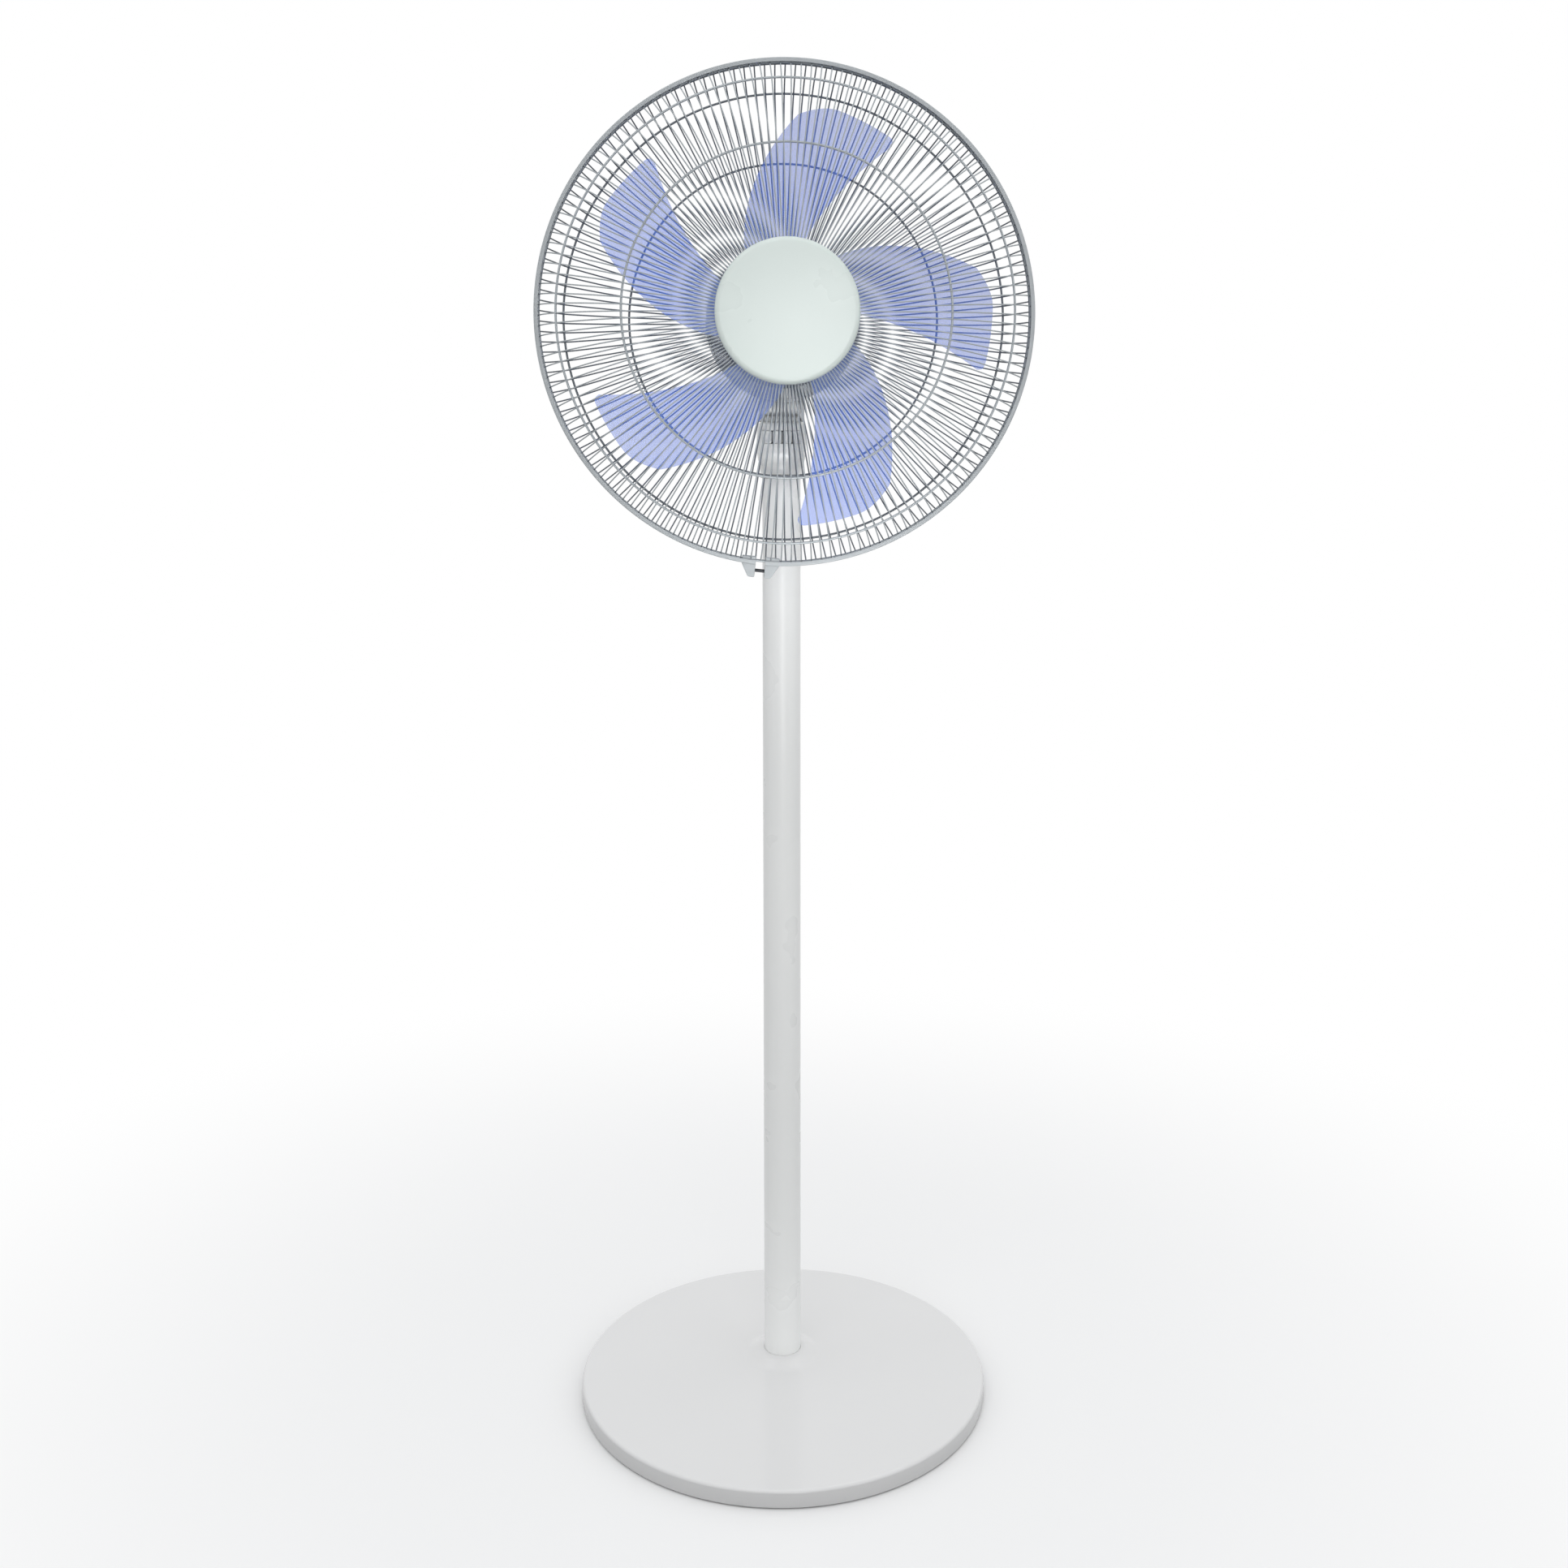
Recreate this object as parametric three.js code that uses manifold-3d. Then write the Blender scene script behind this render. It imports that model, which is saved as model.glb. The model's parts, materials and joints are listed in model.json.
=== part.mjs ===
// A pedestal fan: weighted round base, telescopic pole, key housing, tilting and panning head,
// five-blade impeller and a two-part wire guard. Millimetres, +Z up, the front of the fan towards -Y.
// The origin is on the floor under the centre of the base disc.
import * as THREE from "three";
import { mergeVertices } from "three/addons/utils/BufferGeometryUtils.js";
import Module from "manifold-3d";

const wasm = await Module();
wasm.setup();

// Fits
const gap = 0.3; // between pieces that touch on the real object
const overrun = 1; // how far a cutting tool runs past what it cuts

// Base
const baseRadius = 203;
const baseHeight = 18; // to the flat of the cover, from the floor
const baseCrown = 2; // the cover rises this much to its middle
const baseWall = 2.4;
const baseEdgeRadius = 3.2;
const skirtLift = 1.5; // lower edge of the cover above the floor
const bossRadius = 42; // soft swelling of the cover round the pole's foot
const bossHeight = 6;
const weightInset = 13; // of the counterweight's rim from the cover's
const padCount = 5;
const padRadius = 11;
const padHeight = 5;
const padInset = 35; // of the circle of pads from the cover's rim

// Pole
const poleSetback = 25; // the pole stands this far behind the base's centre
const poleRadius = 18.7;
const poleWall = 1.5;
const poleTop = 920.5; // height of the fixed tube's upper end
const flangeRadius = 30;
const flangeThickness = 4;
const spigotHeight = 46;
const poleBoltRadius = 4;
const poleBoltLength = 34;
const poleBoltHeadRadius = 7.5;
const poleBoltHeadHeight = 4;
const poleWasherRadius = 11;
const poleWasherThickness = 1.5;
const boltPocketDepth = 3;
const bushWall = 1;
const bushDepth = 40;
const bushFlange = 3;
const bushFlangeRadius = 20.2;
const innerTubeWall = 1.5;
const innerTubeDrop = 300; // length of the sliding tube inside the fixed one
const innerTubeRise = 14; // and above the foot of the key housing

// Height knob
const knobDrop = 16; // knob axis below the top of the fixed tube
const knobBossRadius = 8;
const knobBossLength = 9;
const knobScrewRadius = 3;
const knobRadius = 15;
const knobLength = 16;
const knobLobes = 6;
const knobLobeDepth = 2.5;

// Key housing
const housingHeight = 50;
const housingFootRadius = 20.5;
const housingHalfWidth = 24.2;
const housingHalfDepth = 27;
const housingWall = 2.2;
const housingSquareness = 4; // exponent of the superellipse at the widest level
const keyCount = 4;
const keyPitch = 9.6;
const keyGap = 0.8;
const keyHeight = 12;
const keyLength = 7;
const keyProud = 1.2;
const keyLevel = 36; // middle of the keys above the housing's foot
const keyCorner = 1.2;
const switchDepth = 5;
const switchHeight = 12;
const switchSetback = 12.5; // front of the switch block behind the housing's face
const capacitorWidth = 20;
const capacitorDepth = 8;
const capacitorHeight = 17;
const capacitorLevel = 25.5;
const capacitorClearance = 1.5; // between it and the rear wall
const glandRadius = 6;
const glandBore = 3.4;
const glandFlangeRadius = 8;
const glandFlangeThickness = 1.6;
const glandLength = 6;
const glandLevel = 13;
const housingScrewRadius = 1.6;
const housingScrewHeadRadius = 3;
const housingScrewHeadDepth = 2;
const screwBossRadius = 3.6;
const upperScrewLevel = 45.2;
const upperScrewOffset = 16.5;
const lowerScrewLevel = 22;
const lowerScrewOffset = 14.5;

// Neck and tilt joint
const neckRise = 0.6; // the fork's plate above the key housing
const tiltDrop = 75; // tilt axis below the fan's axis
const postRadius = 9;
const forkHalfWidth = 22;
const earThickness = 6;
const earRadius = 10.5;
const forkPlateThickness = 5;
const tiltBoltRadius = 4;
const tiltHeadRadius = 7;
const tiltHeadHeight = 3;
const tiltBlockRadius = 10;
const pivotBossRadius = 7.6; // upper end of the tilt block, round the pan pin
const pivotBossTop = 54; // its top face below the fan's axis
const pivotPinRadius = 4.5;
const pivotPinDepth = 14; // of the pan pin in the tilt block
const thrustWasherThickness = 1.4;

// Pan drive: crank under the gearbox, link to the tilt block
const crankSetback = 42; // crank axis behind the pan axis
const crankRadius = 14;
const crankThickness = 3;
const crankThrow = 10.5;
const crankPinRadius = 2.4;
const crankShaftRadius = 3;
const crankShaftLength = 9;
const linkAnchor = 15; // the link's fixed pin to the left of the pan axis
const linkWidth = 7;
const linkThickness = 3;
const linkDrop = 58.5; // top of the link below the fan's axis
const linkPinRadius = 2.2;

// Motor, along the fan's axis: distances are ahead of the pan axis
const motorRadius = 45;
const motorFlangeRadius = 69.4;
const motorFlangeThickness = 3;
const motorFront = 60;
const frontCoverDepth = 12;
const rearCoverFront = 14;
const rearCoverDepth = 12;
const coverWall = 4;
const noseRadius = 14;
const noseLength = 18;
const bearingRadius = 7.5;
const bearingLength = 10;
const statorBore = 27;
const rotorCoreRadius = 26.2;
const shaftRadius = 4;
const shaftRear = -18;
const shaftTip = 146;
const motorBoltRadius = 2;
const motorBoltCircle = 37;
const motorBoltHeadRadius = 3.6;
const motorBoltHeadHeight = 3;
const gearboxHalfWidth = 20;
const gearboxTop = 30;
const gearboxBottom = 36;
const gearboxRear = 54; // rear of the gearbox behind the pan axis
const gearboxCorner = 5;
const rearPostRadius = 6;
const shellWall = 2.2;
const shellFrontRadius = 72;
const shellRear = 78; // end of the shell behind the pan axis
const shellSlotCount = 7;
const shellSlotWidth = 4;
const shellSlotInner = 16;
const shellSlotOuter = 40;
const shellOpeningRadius = 30;
const shellOpeningHalfWidth = 24;
const shellOpeningRear = 60;
const shellScrewRadius = 2;
const shellScrewLength = 14;
const shellScrewHeadRadius = 4;
const shellScrewHeadHeight = 2.5;

// Pan knob on top of the gearbox
const panKnobSetback = 24;
const panStemRadius = 3.5;
const panStemDepth = 14; // of the stem in the gearbox
const panKnobRadius = 9;
const panKnobHeight = 12;
const panKnobChamfer = 2;
const panKnobLift = 3; // underside of the knob above the shell

// Impeller
const hubRadius = 30;
const hubWall = 3;
const hubRear = 98;
const hubLength = 36;
const hubBossRadius = 9;
const bladeCount = 5;
const bladeTipRadius = 187;
const bladeRootRadius = 27;
const bladeThickness = 2.2;
const bladeMiddle = 120; // middle of the blades ahead of the pan axis
const bladeRootPitch = 42; // degrees to the plane of the impeller
const bladeTipPitch = 20;
const bladeCamber = 5;
const bladeCorner = 12; // the trailing corner of the tip is drawn in by this much
const tipCornerShare = 0.3;
const bladePointDraw = 6; // and its leading corner by this much
const bladePointShare = 0.12;
const bladeEdgeShare = 0.4; // of the thickness that is left at the edges
const trailingRootAngle = -58; // edges in degrees clockwise from the blade's line, seen from the front
const trailingTipAngle = 7;
const trailingBendShare = 0.66;
const leadingRootAngle = 2;
const leadingTipAngle = 33;
const leadingBendShare = 0.7;
const drivePinRadius = 1.6;
const drivePinLength = 17;
const drivePinInset = 4; // of the pin from the rear end of the hub's boss
const spinnerRadius = 16;
const spinnerLength = 17;
const spinnerRimShare = 0.35; // of its length, where its dome starts

// Guards
const wireCount = 24;
const wireRadius = 1.2;
const ringWireRadius = 1.3;
const rimWireRadius = 1.8;
const weldShare = 0.5; // of the two wire radii, between a wire and the ring that it is welded to
const rimClearance = 29; // between the blades' tips and the rims' middle line
const rimPlane = 143; // joint of the two guards ahead of the pan axis
const innerRingInset = 74.5; // of the rings from the rim
const outerRingInset = 17;
const rimTurnInset = 4.5; // of the wires' last turn from the rim
const frontInnerRingReach = 50; // ahead of the rim plane
const frontOuterRingReach = 28;
const frontHubReach = 53;
const frontHubRadius = 50;
const rearInnerRingReach = 60; // behind the rim plane
const rearOuterRingReach = 38;
const frontBendShare = 0.3; // of the way from ring to ring, where the front wires bend between them
const rearBendShare = 0.4;
const frontTurnShare = 0.4; // of the way from rim to outer ring, where the front wires turn to the rim
const rearTurnShare = 0.3;
const rearPlateRadius = 60;
const plateOverlap = 5; // of the rear wires on the plate
const rearPlateThickness = 2;
const guardNutRadius = 33;
const guardNutLength = 9;
const guardNutLobes = 12;
const guardNutLobeDepth = 2;

// Cap in the middle of the front guard
const capRadius = 62;
const capReach = 62; // face of the cap ahead of the rim plane
const capWall = 2.2;
const capCrown = 2;
const capEdgeRadius = 5;
const capBackRadius = 56;
const capBackThickness = 2.5;
const capPostRadius = 5;
const capScrewRadius = 2;
const capScrewLength = 12;
const capScrewHeadRadius = 4;
const capScrewHeadHeight = 2.5;

// Clip ring round the rims
const clipSlack = 0.9; // between the rims and the ring round them
const clipWall = 1.8;
const clipLipReach = 2; // lips reach this far inwards
const clipWidth = 14;
const clipGapAngle = 6; // degrees to the left of the lowest point
const clipGap = 8.5;
const lugLength = 11.5;
const lugWidth = 12.5;
const lugTipWidth = 6;
const lugThickness = 10;
const lugSeat = 4.5; // from the split to the seats of the screw's head and nut
const clipScrewReach = 5.5; // of the screw from the ring's outer face
const clipScrewRadius = 1.5;
const clipScrewHeadRadius = 3;
const clipScrewHeadHeight = 2.2;
const clipNutRadius = 3.4;
const clipNutHeight = 2.6;

// Facets
const wideSides = 36;
const roundSides = 16;
const smallSides = 10;
const tinySides = 6;

const finish = {
  poleWhite: { color: 0xdedede, roughness: 0.35, metalness: 0 },
  baseWhite: { color: 0xdcdcdb, roughness: 0.25, metalness: 0 },
  housingWhite: { color: 0xe2e3e1, roughness: 0.3, metalness: 0 },
  capWhite: { color: 0xd9e3de, roughness: 0.3, metalness: 0 },
  bladeBlue: { color: 0x8fa8ea, roughness: 0.2, metalness: 0, transparent: true, opacity: 0.75 },
  wireGrey: { color: 0x8a9096, roughness: 0.35, metalness: 0.2 },
  wirePale: { color: 0xafb3b7, roughness: 0.35, metalness: 0.2 },
  ringGrey: { color: 0xbfc4c7, roughness: 0.4, metalness: 0 },
  steel: { color: 0xa7a9ab, roughness: 0.35, metalness: 0.9 },
  darkSteel: { color: 0x3a3c3f, roughness: 0.4, metalness: 0.8 },
  castMetal: { color: 0xb4b6b6, roughness: 0.5, metalness: 0.8 },
  brass: { color: 0xb08d57, roughness: 0.35, metalness: 0.9 },
  nylon: { color: 0xd8d8d2, roughness: 0.5, metalness: 0 },
  rubber: { color: 0x2a2a2b, roughness: 0.8, metalness: 0 },
  concrete: { color: 0x8f8d88, roughness: 0.9, metalness: 0 },
  copper: { color: 0x9a5b3a, roughness: 0.5, metalness: 0.5 },
};
for (const name of Object.keys(finish)) {
  finish[name] = new THREE.MeshStandardMaterial(finish[name]);
}

// Solids from closed meshes: faces that point inwards are turned round.
function solid(geometry) {
  const bare = new THREE.BufferGeometry();
  bare.setAttribute("position", geometry.getAttribute("position"));
  bare.setIndex(geometry.getIndex());
  const merged = mergeVertices(bare, 1e-4);
  const vertProperties = merged.getAttribute("position").array;
  const triVerts = new Uint32Array(merged.getIndex().array);
  const made = new wasm.Manifold(new wasm.Mesh({ numProp: 3, vertProperties, triVerts }));
  if (made.volume() > 0) return made;
  for (let i = 0; i < triVerts.length; i += 3) {
    [triVerts[i + 1], triVerts[i + 2]] = [triVerts[i + 2], triVerts[i + 1]];
  }
  return new wasm.Manifold(new wasm.Mesh({ numProp: 3, vertProperties, triVerts }));
}

function geometryOf(made) {
  const mesh = made.getMesh();
  const geometry = new THREE.BufferGeometry();
  geometry.setAttribute("position", new THREE.BufferAttribute(mesh.vertProperties, 3));
  geometry.setIndex(new THREE.BufferAttribute(mesh.triVerts, 1));
  geometry.computeVertexNormals();
  return geometry;
}

function join(...geometries) {
  return geometryOf(geometries.map(solid).reduce((sum, next) => sum.add(next)));
}

function cut(geometry, ...tools) {
  return geometryOf(tools.map(solid).reduce((rest, tool) => rest.subtract(tool), solid(geometry)));
}

function common(geometry, other) {
  return geometryOf(solid(geometry).intersect(solid(other)));
}

// A piece with its mesh, hung in a group.
function piece(group, name, geometry, material) {
  const mesh = new THREE.Mesh(geometryOf(solid(geometry)), material);
  mesh.name = name;
  group.add(mesh);
  return mesh;
}

// Plain forms along Z. A turned profile lists radius and height from point to point.
function turned(profile, sides = roundSides) {
  const points = profile.map(([radius, height]) => new THREE.Vector2(radius, height));
  const onAxis = points[0].x === 0 && points.at(-1).x === 0;
  if (!onAxis) points.push(points[0].clone());
  return new THREE.LatheGeometry(points, sides).rotateX(Math.PI / 2);
}

function rod(radius, low, high, sides = smallSides) {
  return turned([[0, low], [radius, low], [radius, high], [0, high]], sides);
}

function tube(outer, inner, low, high, sides = roundSides) {
  return turned([[outer, low], [outer, high], [inner, high], [inner, low]], sides);
}

function box(lowX, highX, lowY, highY, lowZ, highZ) {
  const made = new THREE.BoxGeometry(highX - lowX, highY - lowY, highZ - lowZ);
  return made.translate((lowX + highX) / 2, (lowY + highY) / 2, (lowZ + highZ) / 2);
}

// Turns a form that runs along +Z so that it runs along +X, or along +Y.
function towardsX(geometry) {
  return geometry.rotateY(Math.PI / 2);
}

function towardsY(geometry) {
  return geometry.rotateX(-Math.PI / 2);
}

// A quarter round between two directions, as profile points.
function arc(centreRadius, centreHeight, radius, fromDegrees, toDegrees, steps) {
  const points = [];
  for (let i = 0; i <= steps; i += 1) {
    const angle = THREE.MathUtils.degToRad(fromDegrees + ((toDegrees - fromDegrees) * i) / steps);
    points.push([centreRadius + radius * Math.cos(angle), centreHeight + radius * Math.sin(angle)]);
  }
  return points;
}

// A closed skin through rings of equally many points, with flat ends.
function lofted(rings) {
  const count = rings[0].length;
  const points = rings.flat();
  const faces = [];
  for (let i = 0; i + 1 < rings.length; i += 1) {
    for (let j = 0; j < count; j += 1) {
      const next = (j + 1) % count;
      const [a, b] = [i * count + j, i * count + next];
      const [c, d] = [a + count, b + count];
      faces.push(a, b, d, a, d, c);
    }
  }
  const last = (rings.length - 1) * count;
  for (let near = 0, far = count - 1; near + 1 < far; near += 1, far -= 1) {
    faces.push(near, far, near + 1, last + near, last + near + 1, last + far);
    if (near + 2 < far) {
      faces.push(near + 1, far, far - 1, last + near + 1, last + far - 1, last + far);
    }
  }
  const geometry = new THREE.BufferGeometry();
  geometry.setAttribute("position", new THREE.Float32BufferAttribute(points.flat(), 3));
  geometry.setIndex(faces);
  return geometry;
}

// A plate with round corners, pushed up along Z.
function roundedPlate(halfWidth, halfDepth, corner, low, high, steps = 3) {
  const shape = new THREE.Shape();
  const [x, y] = [halfWidth - corner, halfDepth - corner];
  shape.absarc(x, y, corner, 0, Math.PI / 2);
  shape.absarc(-x, y, corner, Math.PI / 2, Math.PI);
  shape.absarc(-x, -y, corner, Math.PI, Math.PI * 1.5);
  shape.absarc(x, -y, corner, Math.PI * 1.5, Math.PI * 2);
  const settings = { depth: high - low, bevelEnabled: false, curveSegments: steps };
  return new THREE.ExtrudeGeometry(shape, settings).translate(0, 0, low);
}

// A round grip whose edge waves in and out between its lobes.
function lobedGrip(radius, lobes, lobeDepth, low, high, stepsPerLobe = 4) {
  const shape = new THREE.Shape();
  const steps = lobes * stepsPerLobe;
  for (let i = 0; i < steps; i += 1) {
    const angle = (i / steps) * Math.PI * 2;
    const reach = radius - (lobeDepth * (1 - Math.cos(angle * lobes))) / 2;
    const point = [reach * Math.cos(angle), reach * Math.sin(angle)];
    if (i === 0) shape.moveTo(...point);
    else shape.lineTo(...point);
  }
  shape.closePath();
  const settings = { depth: high - low, bevelEnabled: false };
  return new THREE.ExtrudeGeometry(shape, settings).translate(0, 0, low);
}

// A hexagon head or nut along Z.
function hexagon(radius, low, high) {
  return rod(radius, low, high, 6);
}

const fan = new THREE.Group();

// Base: pressed cover over a cast counterweight on rubber pads.
const weightRadius = baseRadius - weightInset;
const weightLow = padHeight + gap;
const weightHigh = baseHeight - baseWall - gap;
const pocketRadius = flangeRadius + gap;

function makeBaseCover() {
  const crown = [];
  const crownSteps = 2;
  const flatRadius = baseRadius - baseEdgeRadius;
  for (let i = 0; i < crownSteps; i += 1) {
    const share = i / crownSteps;
    crown.push([flatRadius * share, baseHeight + baseCrown * (1 - share * share)]);
  }
  const edge = arc(flatRadius, baseHeight - baseEdgeRadius, baseEdgeRadius, 90, 0, 3);
  const inside = baseEdgeRadius - baseWall;
  const innerEdge = arc(flatRadius, baseHeight - baseEdgeRadius, inside, 0, 90, 1);
  const profile = [...crown, ...edge, [baseRadius, skirtLift], [baseRadius - baseWall, skirtLift],
    ...innerEdge, [0, baseHeight - baseWall]];
  const disc = turned(profile, wideSides);
  const low = baseHeight - baseWall;
  const steps = 4;
  const swelling = [[0, low], [bossRadius, low]];
  for (let i = 0; i <= steps; i += 1) {
    const share = i / steps;
    const radius = bossRadius + (poleRadius + gap - bossRadius) * share;
    const rise = bossHeight * (1 - Math.cos(Math.PI * share)) / 2;
    swelling.push([radius, baseHeight + baseCrown / 2 + rise]);
  }
  swelling.push([0, baseHeight + baseCrown / 2 + bossHeight]);
  const boss = turned(swelling, roundSides).translate(0, poleSetback, 0);
  const high = baseHeight + baseCrown + bossHeight + overrun;
  const hole = rod(poleRadius + gap, low - overrun, high, roundSides).translate(0, poleSetback, 0);
  return cut(join(disc, boss), hole);
}

function makeBaseWeight() {
  const chamfer = weightHigh - weightLow - boltPocketDepth;
  const disc = turned([[0, weightLow], [weightRadius, weightLow], [weightRadius, weightHigh - chamfer / 2],
    [weightRadius - chamfer, weightHigh], [0, weightHigh]], wideSides);
  const flangePocket = rod(pocketRadius, weightHigh - flangeThickness - gap, weightHigh + overrun, roundSides);
  const boltPocket = rod(poleWasherRadius + gap, weightLow - overrun, weightLow + boltPocketDepth, smallSides);
  const bore = rod(poleBoltRadius + gap, weightLow, weightHigh, smallSides);
  const tools = [flangePocket, boltPocket, bore].map((tool) => tool.translate(0, poleSetback, 0));
  return cut(disc, ...tools);
}

piece(fan, "base_cover", makeBaseCover(), finish.baseWhite);
piece(fan, "base_weight", makeBaseWeight(), finish.concrete);
for (let i = 0; i < padCount; i += 1) {
  const angle = (i / padCount) * Math.PI * 2 + Math.PI / 2;
  const chamfer = padHeight / 5;
  const pad = turned([[0, 0], [padRadius - chamfer, 0], [padRadius, chamfer],
    [padRadius, padHeight], [0, padHeight]], smallSides);
  const mesh = piece(fan, `foot_pad_${i + 1}`, pad, finish.rubber);
  mesh.position.set((baseRadius - padInset) * Math.cos(angle), (baseRadius - padInset) * Math.sin(angle), 0);
}

// Pole, on its flange, with everything below on the pole's own axis.
const pole = new THREE.Group();
pole.position.y = poleSetback;
fan.add(pole);

const flangeLow = weightHigh - flangeThickness;
const poleFoot = weightHigh + gap;
const poleBore = poleRadius - poleWall;
const knobLevel = poleTop - knobDrop;
const innerTubeRadius = poleBore - gap - bushWall - gap;
const innerTubeBore = innerTubeRadius - innerTubeWall;
const housingFoot = poleTop + gap + bushFlange + gap;

function makePoleFlange() {
  const spigotRadius = poleBore - gap;
  const body = turned([[0, flangeLow], [flangeRadius, flangeLow], [flangeRadius, weightHigh],
    [spigotRadius, weightHigh], [spigotRadius, weightHigh + spigotHeight], [0, weightHigh + spigotHeight]]);
  const bore = rod(poleBoltRadius + gap, flangeLow - overrun, weightLow + poleBoltLength + gap, smallSides);
  return cut(body, bore);
}

function makePoleBolt() {
  const seat = weightLow + boltPocketDepth - gap - poleWasherThickness - gap;
  const head = hexagon(poleBoltHeadRadius, seat - poleBoltHeadHeight, seat);
  const shank = rod(poleBoltRadius, seat - poleBoltHeadHeight / 2, weightLow + poleBoltLength, smallSides);
  return join(head, shank);
}

function makePoleWasher() {
  const high = weightLow + boltPocketDepth - gap;
  return tube(poleWasherRadius, poleBoltRadius + gap, high - poleWasherThickness, high, smallSides);
}

function makeOuterTube() {
  const body = tube(poleRadius, poleBore, poleFoot, poleTop);
  const hole = towardsY(rod(knobScrewRadius + gap, 0, poleRadius + overrun, smallSides));
  return cut(body, hole.translate(0, 0, knobLevel));
}

// Bush in the mouth of the pole: its flange is the pale line under the key housing.
function makeTopBush() {
  const high = poleTop + gap + bushFlange;
  const body = turned([[innerTubeRadius + gap, poleTop - bushDepth], [poleBore - gap, poleTop - bushDepth],
    [poleBore - gap, poleTop + gap], [bushFlangeRadius, poleTop + gap], [bushFlangeRadius, high],
    [innerTubeRadius + gap, high]]);
  const hole = towardsY(rod(knobScrewRadius + gap, 0, poleRadius + overrun, smallSides));
  return cut(body, hole.translate(0, 0, knobLevel));
}

piece(pole, "pole_flange", makePoleFlange(), finish.castMetal);
piece(pole, "pole_bolt", makePoleBolt(), finish.steel);
piece(pole, "pole_washer", makePoleWasher(), finish.steel);
piece(pole, "outer_tube", makeOuterTube(), finish.poleWhite);
piece(pole, "pole_top_bush", makeTopBush(), finish.nylon);

// Clamp knob at the back of the pole: its nut is fixed to the tube, its screw bears on the sliding tube.
function makeKnobNut() {
  const far = poleRadius + gap + knobBossLength;
  const body = towardsY(rod(knobBossRadius, 0, far, smallSides));
  const around = rod(poleRadius + gap, -knobBossRadius * 2, knobBossRadius * 2, roundSides);
  const bore = towardsY(rod(knobScrewRadius + gap, 0, far + overrun, smallSides));
  return cut(body, around, bore).translate(0, 0, knobLevel);
}

function makeHeightKnob() {
  const near = poleRadius + gap + knobBossLength + gap;
  const grip = lobedGrip(knobRadius, knobLobes, knobLobeDepth, near, near + knobLength);
  const screw = rod(knobScrewRadius, innerTubeRadius + gap, near + knobLength / 2, smallSides);
  return towardsY(join(grip, screw)).translate(0, 0, knobLevel);
}

piece(pole, "knob_nut", makeKnobNut(), finish.nylon);
piece(pole, "height_knob", makeHeightKnob(), finish.housingWhite);
piece(pole, "inner_tube", tube(innerTubeRadius, innerTubeBore, poleTop - innerTubeDrop,
  housingFoot + innerTubeRise), finish.steel);

// Key housing: a barrel that swells from a round foot to a squarish middle, in two shells.
const levelShares = [0, 0.2, 0.5, 0.85, 1];
const bulgeShares = [0, 0.3, 0.95, 0.9, 0.5];
const housingTop = housingFoot + housingHeight;
const outlineSteps = 16;
const fullShare = levelShares.at(-2); // the last level at the barrel's full depth

function housingRing(halfWidth, halfDepth, squareness, level) {
  const points = [];
  for (let i = 0; i < outlineSteps; i += 1) {
    const angle = (i / outlineSteps) * Math.PI * 2;
    const [c, s] = [Math.cos(angle), Math.sin(angle)];
    const x = Math.sign(c) * halfWidth * Math.abs(c) ** (2 / squareness);
    const y = Math.sign(s) * halfDepth * Math.abs(s) ** (2 / squareness);
    points.push([x, y, level]);
  }
  return points;
}

// How deep the housing is at a level above its foot.
function housingDepthAt(level) {
  const share = level / housingHeight;
  const next = levelShares.findIndex((value) => value >= share);
  const part = (share - levelShares[next - 1]) / (levelShares[next] - levelShares[next - 1]);
  const bulge = bulgeShares[next - 1] + (bulgeShares[next] - bulgeShares[next - 1]) * part;
  return housingFootRadius + (housingHalfDepth - housingFootRadius) * bulge;
}

// The housing's solid form, drawn in by inset all round.
function housingForm(inset, low, high) {
  const rings = levelShares.map((share, i) => {
    const bulge = bulgeShares[i];
    const halfWidth = housingFootRadius + (housingHalfWidth - housingFootRadius) * bulge - inset;
    const halfDepth = housingFootRadius + (housingHalfDepth - housingFootRadius) * bulge - inset;
    const squareness = 2 + (housingSquareness - 2) * bulge;
    return housingRing(halfWidth, halfDepth, squareness, low + (high - low) * share);
  });
  return lofted(rings);
}

// How far the housing's face lies ahead of its axis, at a distance to the side.
function faceDepth(side) {
  const share = Math.abs(side) / housingHalfWidth;
  return housingHalfDepth * (1 - share ** housingSquareness) ** (1 / housingSquareness);
}

const keyMiddle = housingFoot + keyLevel;
const keyWidth = keyPitch - keyGap;
const keyRowHalf = (keyCount * keyPitch - keyGap) / 2;
const keyOffsets = [];
for (let i = 0; i < keyCount; i += 1) keyOffsets.push((i - (keyCount - 1) / 2) * keyPitch);
const housingScrews = [[upperScrewOffset, upperScrewLevel], [-lowerScrewOffset, lowerScrewLevel]];
const glandHeight = housingFoot + glandLevel;
const reach = housingHalfDepth * 2; // longer than the housing is deep

function screwPlace(geometry, [side, level]) {
  return towardsY(geometry).translate(side, 0, housingFoot + level);
}

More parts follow.
